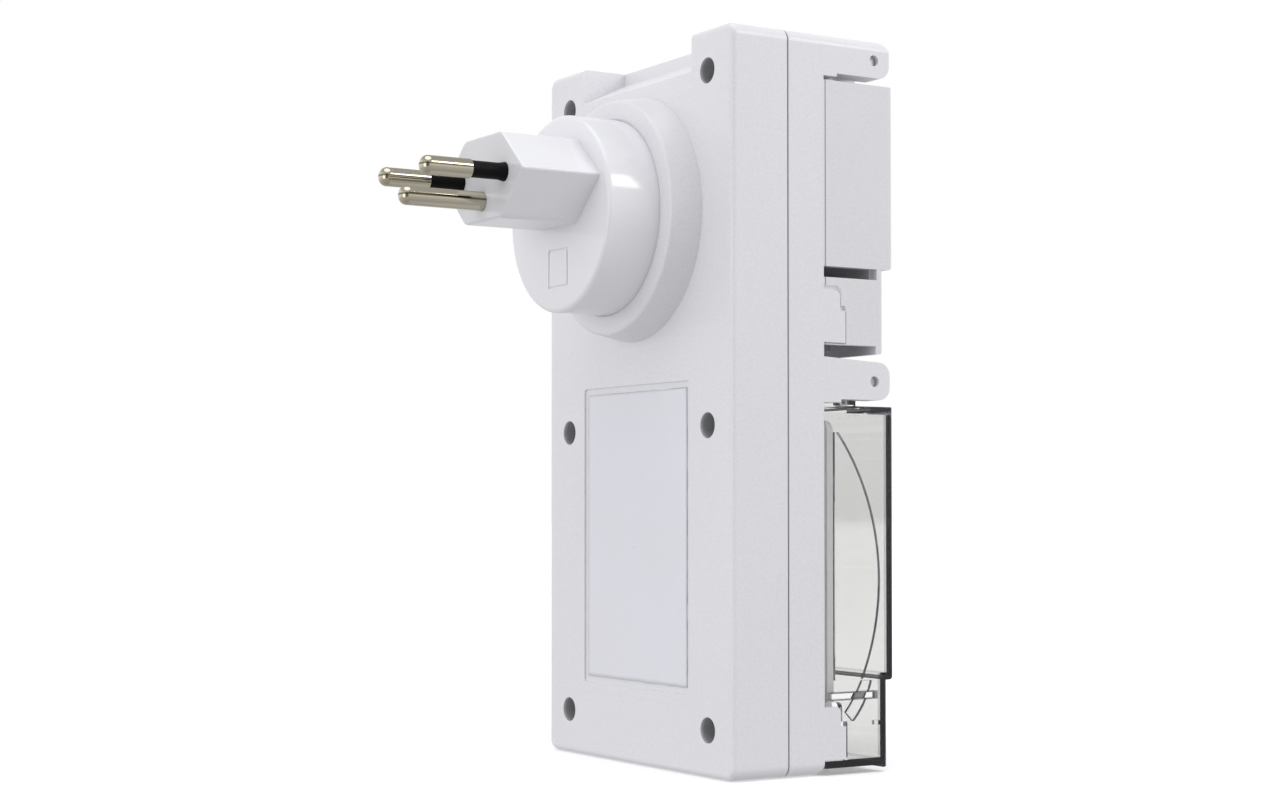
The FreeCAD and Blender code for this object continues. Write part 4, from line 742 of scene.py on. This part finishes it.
def ribbon(points, width, closed=False):
    """The two sides of a line of even width through the points."""
    left, right = [], []
    count = len(points)
    for i, p in enumerate(points):
        before = points[i - 1] if closed or i > 0 else None
        after = points[(i + 1) % count] if closed or i < count - 1 else None
        steps = []
        if before is not None:
            steps.append(Vector((p[0] - before[0], p[1] - before[1])).normalized())
        if after is not None:
            steps.append(Vector((after[0] - p[0], after[1] - p[1])).normalized())
        along = sum(steps, Vector((0, 0))).normalized()
        side = Vector((-along.y, along.x))
        reach = width / 2 / max(MITRE_LIMIT, along.dot(steps[0]))
        left.append((p[0] + side.x * reach, p[1] + side.y * reach))
        right.append((p[0] - side.x * reach, p[1] - side.y * reach))
    return left, right


def round_points(radius, x, z, degrees):
    """Points round a centre at the given angles."""
    turns = [math.radians(angle) for angle in degrees]
    return [(x + radius * math.cos(turn), z + radius * math.sin(turn)) for turn in turns]


def circle(radius, x, z, sides=CIRCLE_SIDES):
    """Points of a circle."""
    return round_points(radius, x, z, [360 * k / sides for k in range(sides)])


def rounded_frame(x0, x1, z0, z1, r):
    """Points of a rectangle with round corners."""
    corners = [(x1 - r, z1 - r, 0), (x0 + r, z1 - r, 90), (x0 + r, z0 + r, 180), (x1 - r, z0 + r, 270)]
    points = []
    for x, z, start in corners:
        points += round_points(r, x, z, [start + 90 * k / CORNER_STEPS for k in range(CORNER_STEPS + 1)])
    return points


def frame_round(box, margin, r):
    """A rounded frame at a margin round a box; a negative margin lies inside it."""
    low, high = box
    return rounded_frame(low.x / MM - margin, high.x / MM + margin,
                         low.z / MM - margin, high.z / MM + margin, r)


class Plates:
    """Thin raised shapes on a face, gathered into one mesh."""

    def __init__(self, face_y, height):
        self.shape = bmesh.new()
        self.low = face_y * MM
        self.high = (face_y - height) * MM

    def row(self, points, y):
        """Vertices at one height."""
        return [self.shape.verts.new((x * MM, y, z * MM)) for x, z in points]

    def wall(self, low, high):
        """Faces between two closed rows of vertices."""
        for i in range(len(low)):
            j = (i + 1) % len(low)
            self.shape.faces.new((low[i], low[j], high[j], high[i]))

    def prism(self, outline):
        """A closed outline raised from the face."""
        base = self.row(outline, self.low)
        top = self.row(outline, self.high)
        self.shape.faces.new(base)
        self.shape.faces.new(top)
        self.wall(base, top)

    def line(self, points, width):
        """An open line."""
        left, right = ribbon(points, width)
        self.prism(left + right[::-1])

    def loop(self, points, width):
        """A closed line with a hole in it."""
        left, right = ribbon(points, width, True)
        left_low, left_high = self.row(left, self.low), self.row(left, self.high)
        right_low, right_high = self.row(right, self.low), self.row(right, self.high)
        self.wall(left_low, left_high)
        self.wall(left_high, right_high)
        self.wall(right_high, right_low)
        self.wall(right_low, left_low)

    def finish(self, name, look, body):
        """Makes the shapes one piece that rides on a body."""
        bmesh.ops.recalc_face_normals(self.shape, faces=self.shape.faces)
        piece = mesh_object(name, self.shape, look)
        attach(piece, body)


def centre(name):
    """Middle of a node's box in x and z, and its lowest y, in millimetres."""
    low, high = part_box(name)
    return (low.x + high.x) / 2 / MM, (low.z + high.z) / 2 / MM, low.y / MM


# Keys: a raised symbol on each

SYMBOL_W = 0.42
SYMBOL_SINK = 0.02
SYMBOL_HEIGHT = 0.1


def clock_symbol(plates, x, z):
    """A dial with two hands."""
    plates.loop(circle(1.55, x, z), SYMBOL_W)
    plates.line([(x, z + 1.0), (x, z), (x + 0.75, z - 0.35)], SYMBOL_W)


def programme_symbol(plates, x, z):
    """A list of three rows."""
    for up in (-1.1, 0.0, 1.1):
        plates.line([(x - 1.0, z + up), (x + 1.8, z + up)], SYMBOL_W)
        plates.line([(x - 1.9, z + up), (x - 1.45, z + up)], SYMBOL_W)


def manual_symbol(plates, x, z):
    """An open ring with a stroke in its gap."""
    plates.line(round_points(1.5, x, z - 0.1, range(-230, 51, 20)), SYMBOL_W)
    plates.line([(x, z + 1.7), (x, z + 0.1)], SYMBOL_W)


def minus_symbol(plates, x, z):
    """A minus sign."""
    plates.line([(x - 1.4, z), (x + 1.4, z)], SYMBOL_W * 1.2)


def plus_symbol(plates, x, z):
    """A plus sign: one arm's three corners, turned to all four sides."""
    tip, half = 1.4, SYMBOL_W * 0.6
    corners = []
    for dx, dz in ((0, -1), (1, 0), (0, 1), (-1, 0)):
        for reach, aside in ((half, -half), (tip, -half), (tip, half)):
            corners.append((x + dx * reach - dz * aside, z + dz * reach + dx * aside))
    plates.prism(corners)


def random_symbol(plates, x, z):
    """An uneven square wave."""
    steps = [(-2.0, -0.8), (-1.2, -0.8), (-1.2, 0.8), (-0.1, 0.8), (-0.1, -0.8),
             (0.5, -0.8), (0.5, 0.8), (1.3, 0.8), (1.3, -0.8), (2.0, -0.8)]
    plates.line([(x + dx, z + dz) for dx, dz in steps], SYMBOL_W)


SYMBOLS = [clock_symbol, programme_symbol, manual_symbol, minus_symbol, plus_symbol, random_symbol]


def make_symbols(looks):
    """A raised symbol on each key."""
    for key, draw in zip(KEYS, SYMBOLS):
        x, z, face_y = centre(key)
        plates = Plates(face_y + SYMBOL_SINK, SYMBOL_HEIGHT)
        draw(plates, x, z)
        plates.finish(key + "_symbol", looks["print"], key)


# Display: its layout from the middle of the glass, in millimetres

SEGMENTS = {
    "0": "abcdef", "1": "bc", "2": "abged", "3": "abgcd", "4": "fgbc",
    "5": "afgcd", "6": "afgedc", "7": "abc", "8": "abcdefg", "9": "abcdfg",
}
SEGMENT_HEIGHT = 0.05
SEGMENT_GAP = 0.62
DIGIT_LEAN = 0.09
DIGIT_Z = -4.2
TIME = "1245"
# A digit's width, its height and how thick its bars are
TIME_DIGIT = (3.9, 7.6, 0.95)
TIME_X = -14.6
TIME_STEP = 6.1
COLON_ROOM = 1.4
COLON_X = -2.45
COLON_Z = (-1.9, 1.5)
COLON_R = 0.5
COLON_SIDES = 12
SECONDS = "30"
SECONDS_DIGIT = (1.9, 3.8, 0.5)
SECONDS_X = 11.0
SECONDS_STEP = 2.9
MARKS_X = -14.4
DAYS = 7
TODAY = 2
DAY_STEP = 4.3
DAY_LENGTH = 2.4
DAY_Z = 6.6
DAY_W = 0.5
TODAY_W = 1.1
HOURS = 24
ON_HOURS = (6, 7, 8, 17, 18, 19, 20, 21)
HOUR_STEP = 1.24
HOUR_Z = -7.4
HOUR_W = 0.8
ON_TALL = 1.2
OFF_TALL = 0.4


def digit(plates, sign, x, z, w, h, t):
    """A seven-segment digit whose lower left corner is at x, z."""
    half = h / 2
    gap = t * SEGMENT_GAP
    bars = {
        "a": ((0, h), (w, h)),
        "b": ((w, half), (w, h)),
        "c": ((w, 0), (w, half)),
        "d": ((0, 0), (w, 0)),
        "e": ((0, 0), (0, half)),
        "f": ((0, half), (0, h)),
        "g": ((0, half), (w, half)),
    }
    for name in SEGMENTS[sign]:
        a, b = (Vector(end) for end in bars[name])
        along = (b - a).normalized()
        side = Vector((-along.y, along.x)) * (t / 2)
        a, b = a + along * gap, b - along * gap
        tip = along * (t / 2)
        corners = [a, a + tip - side, b - tip - side, b, b - tip + side, a + tip + side]
        plates.prism([(x + c.x + DIGIT_LEAN * c.y, z + c.y) for c in corners])


def make_display(looks):
    """The time, the seconds, the day marks and the switching bars on the display glass."""
    x, z, face_y = centre("lcd_glass")
    plates = Plates(face_y, SEGMENT_HEIGHT)
    for k, sign in enumerate(TIME):
        room = COLON_ROOM if k > 1 else 0.0
        digit(plates, sign, x + TIME_X + TIME_STEP * k + room, z + DIGIT_Z, *TIME_DIGIT)
    for up in COLON_Z:
        plates.prism(circle(COLON_R, x + COLON_X + DIGIT_LEAN * up, z + up, COLON_SIDES))
    for k, sign in enumerate(SECONDS):
        digit(plates, sign, x + SECONDS_X + SECONDS_STEP * k, z + DIGIT_Z, *SECONDS_DIGIT)
    for k in range(DAYS):
        left = x + MARKS_X + DAY_STEP * k
        day_w = TODAY_W if k == TODAY else DAY_W
        plates.line([(left, z + DAY_Z), (left + DAY_LENGTH, z + DAY_Z)], day_w)
    for k in range(HOURS):
        left = x + MARKS_X + HOUR_STEP * k
        tall = ON_TALL if k in ON_HOURS else OFF_TALL
        plates.line([(left, z + HOUR_Z), (left, z + HOUR_Z + tall)], HOUR_W)
    plates.finish("display_segments", looks["segment"], "housing")


# Film: its fine printed lines, in millimetres

PRINT_SINK = 0.01
PRINT_HEIGHT = 0.05
WINDOW_MARGIN = 1.3
WINDOW_R = 1.6
WINDOW_W = 0.35
BORDER_MARGIN = -1.5
BORDER_R = 2.2
BORDER_W = 0.3
KEY_LINE_HALF = 2.2
KEY_LINE_UP = 4.15
KEY_LINE_W = 0.35
RESET_R = 2.5
RESET_W = 0.3


def make_fascia_print(looks):
    """Fine lines round the display, along the film's border, over the keys and round the reset hole."""
    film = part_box("fascia_film")
    plates = Plates(film[0].y / MM + PRINT_SINK, PRINT_HEIGHT)
    plates.loop(frame_round(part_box("display_window"), WINDOW_MARGIN, WINDOW_R), WINDOW_W)
    plates.loop(frame_round(film, BORDER_MARGIN, BORDER_R), BORDER_W)
    for key in KEYS:
        x, z, _ = centre(key)
        line_z = z + KEY_LINE_UP
        plates.line([(x - KEY_LINE_HALF, line_z), (x + KEY_LINE_HALF, line_z)], KEY_LINE_W)
    x, z, _ = centre("reset_button")
    plates.loop(circle(RESET_R, x, z), RESET_W)
    plates.finish("fascia_print", looks["print"], "housing")


# Label: a thin sheet in two layers of a grid

LABEL_COLS = 44
LABEL_ROWS = 66
LABEL_INSET = 0.15 * MM
LABEL_THICK = 0.10 * MM
LABEL_LIFT = 0.09
UNDERSIDE_SHARE = 0.4
WOBBLE = 0.13 * MM
WOBBLE_POWER = 12
FOLD = 0.05
WRINKLE = 0.02


def label_wobble(u, v):
    """How far the outline strays in x and z; it fades out quickly towards the middle."""
    edge = max(abs(u), abs(v)) ** WOBBLE_POWER
    stray_x = noise.noise(Vector((u * 0.7, v * 9.0, 3.1))) * WOBBLE * edge
    stray_z = noise.noise(Vector((u * 7.0, v * 0.7, 8.2))) * WOBBLE * edge
    return stray_x, stray_z


def label_crease(x, z):
    """The height of the slow folds and small wrinkles, in millimetres."""
    fold = noise.noise(Vector((x * 90.0, 0.3, z * 45.0))) * FOLD
    return fold + noise.noise(Vector((x * 260.0, 4.7, z * 120.0))) * WRINKLE


def make_label(looks):
    """The bare label as a sheet that has lifted and creased a little, with a hand-cut outline."""
    low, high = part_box("rating_label")
    mid_x, mid_z = (low.x + high.x) / 2, (low.z + high.z) / 2
    half_x, half_z = (high.x - low.x) / 2 - LABEL_INSET, (high.z - low.z) / 2 - LABEL_INSET
    shape = bmesh.new()
    sheets = []
    for lift, share in ((0.0, UNDERSIDE_SHARE), (LABEL_THICK, 1.0)):
        rows = []
        for j in range(LABEL_ROWS + 1):
            v = 2 * j / LABEL_ROWS - 1
            row = []
            for i in range(LABEL_COLS + 1):
                u = 2 * i / LABEL_COLS - 1
                stray_x, stray_z = label_wobble(u, v)
                x = mid_x + u * half_x + stray_x
                z = mid_z + v * half_z + stray_z
                y = low.y + (LABEL_LIFT + label_crease(x, z)) * MM * share + lift
                row.append(shape.verts.new((x, y, z)))
            rows.append(row)
        sheets.append(rows)
    under, over = sheets
    for j in range(LABEL_ROWS):
        for i in range(LABEL_COLS):
            for rows in sheets:
                shape.faces.new((rows[j][i], rows[j][i + 1], rows[j + 1][i + 1], rows[j + 1][i]))
    border = [(0, i) for i in range(LABEL_COLS)]
    border += [(j, LABEL_COLS) for j in range(LABEL_ROWS)]
    border += [(LABEL_ROWS, i) for i in range(LABEL_COLS, 0, -1)]
    border += [(j, 0) for j in range(LABEL_ROWS, 0, -1)]
    for k, (j, i) in enumerate(border):
        n, m = border[(k + 1) % len(border)]
        shape.faces.new((under[j][i], under[n][m], over[n][m], over[j][i]))
    bmesh.ops.recalc_face_normals(shape, faces=shape.faces)
    for face in shape.faces:
        face.smooth = abs(face.normal.y) > 0.5
    piece = mesh_object("label_sheet", shape, looks["paper"])
    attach(piece, "housing")
    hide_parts("rating_label")


# Gap lip: its section as radius and y, in millimetres

DISC_Z = -6.4
LIP_SECTION = [(21.04, -30.95), (21.26, -30.95), (21.26, -30.62), (21.15, -30.56), (21.04, -30.62)]
LIP_SIDES = 128


def make_gap_lip(looks):
    """The light lip in the gap between the plug's disc and the raised ring."""
    shape = bmesh.new()
    rows = []
    for k in range(LIP_SIDES):
        turn = 2 * math.pi * k / LIP_SIDES
        rows.append([shape.verts.new((r * math.cos(turn) * MM, y * MM, (DISC_Z + r * math.sin(turn)) * MM))
                     for r, y in LIP_SECTION])
    for k in range(LIP_SIDES):
        here, there = rows[k], rows[(k + 1) % LIP_SIDES]
        for i in range(len(LIP_SECTION)):
            j = (i + 1) % len(LIP_SECTION)
            shape.faces.new((here[i], here[j], there[j], there[i]))
    bmesh.ops.recalc_face_normals(shape, faces=shape.faces)
    piece = mesh_object("gap_lip", shape, looks["lip"])
    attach(piece, "housing")


make_camera()
make_world()
make_stage()
light_scene()
looks = make_materials()
dress_nodes(looks)
make_symbols(looks)
make_display(looks)
make_fascia_print(looks)
make_label(looks)
make_gap_lip(looks)

bpy.context.scene.view_settings.view_transform = "Standard"
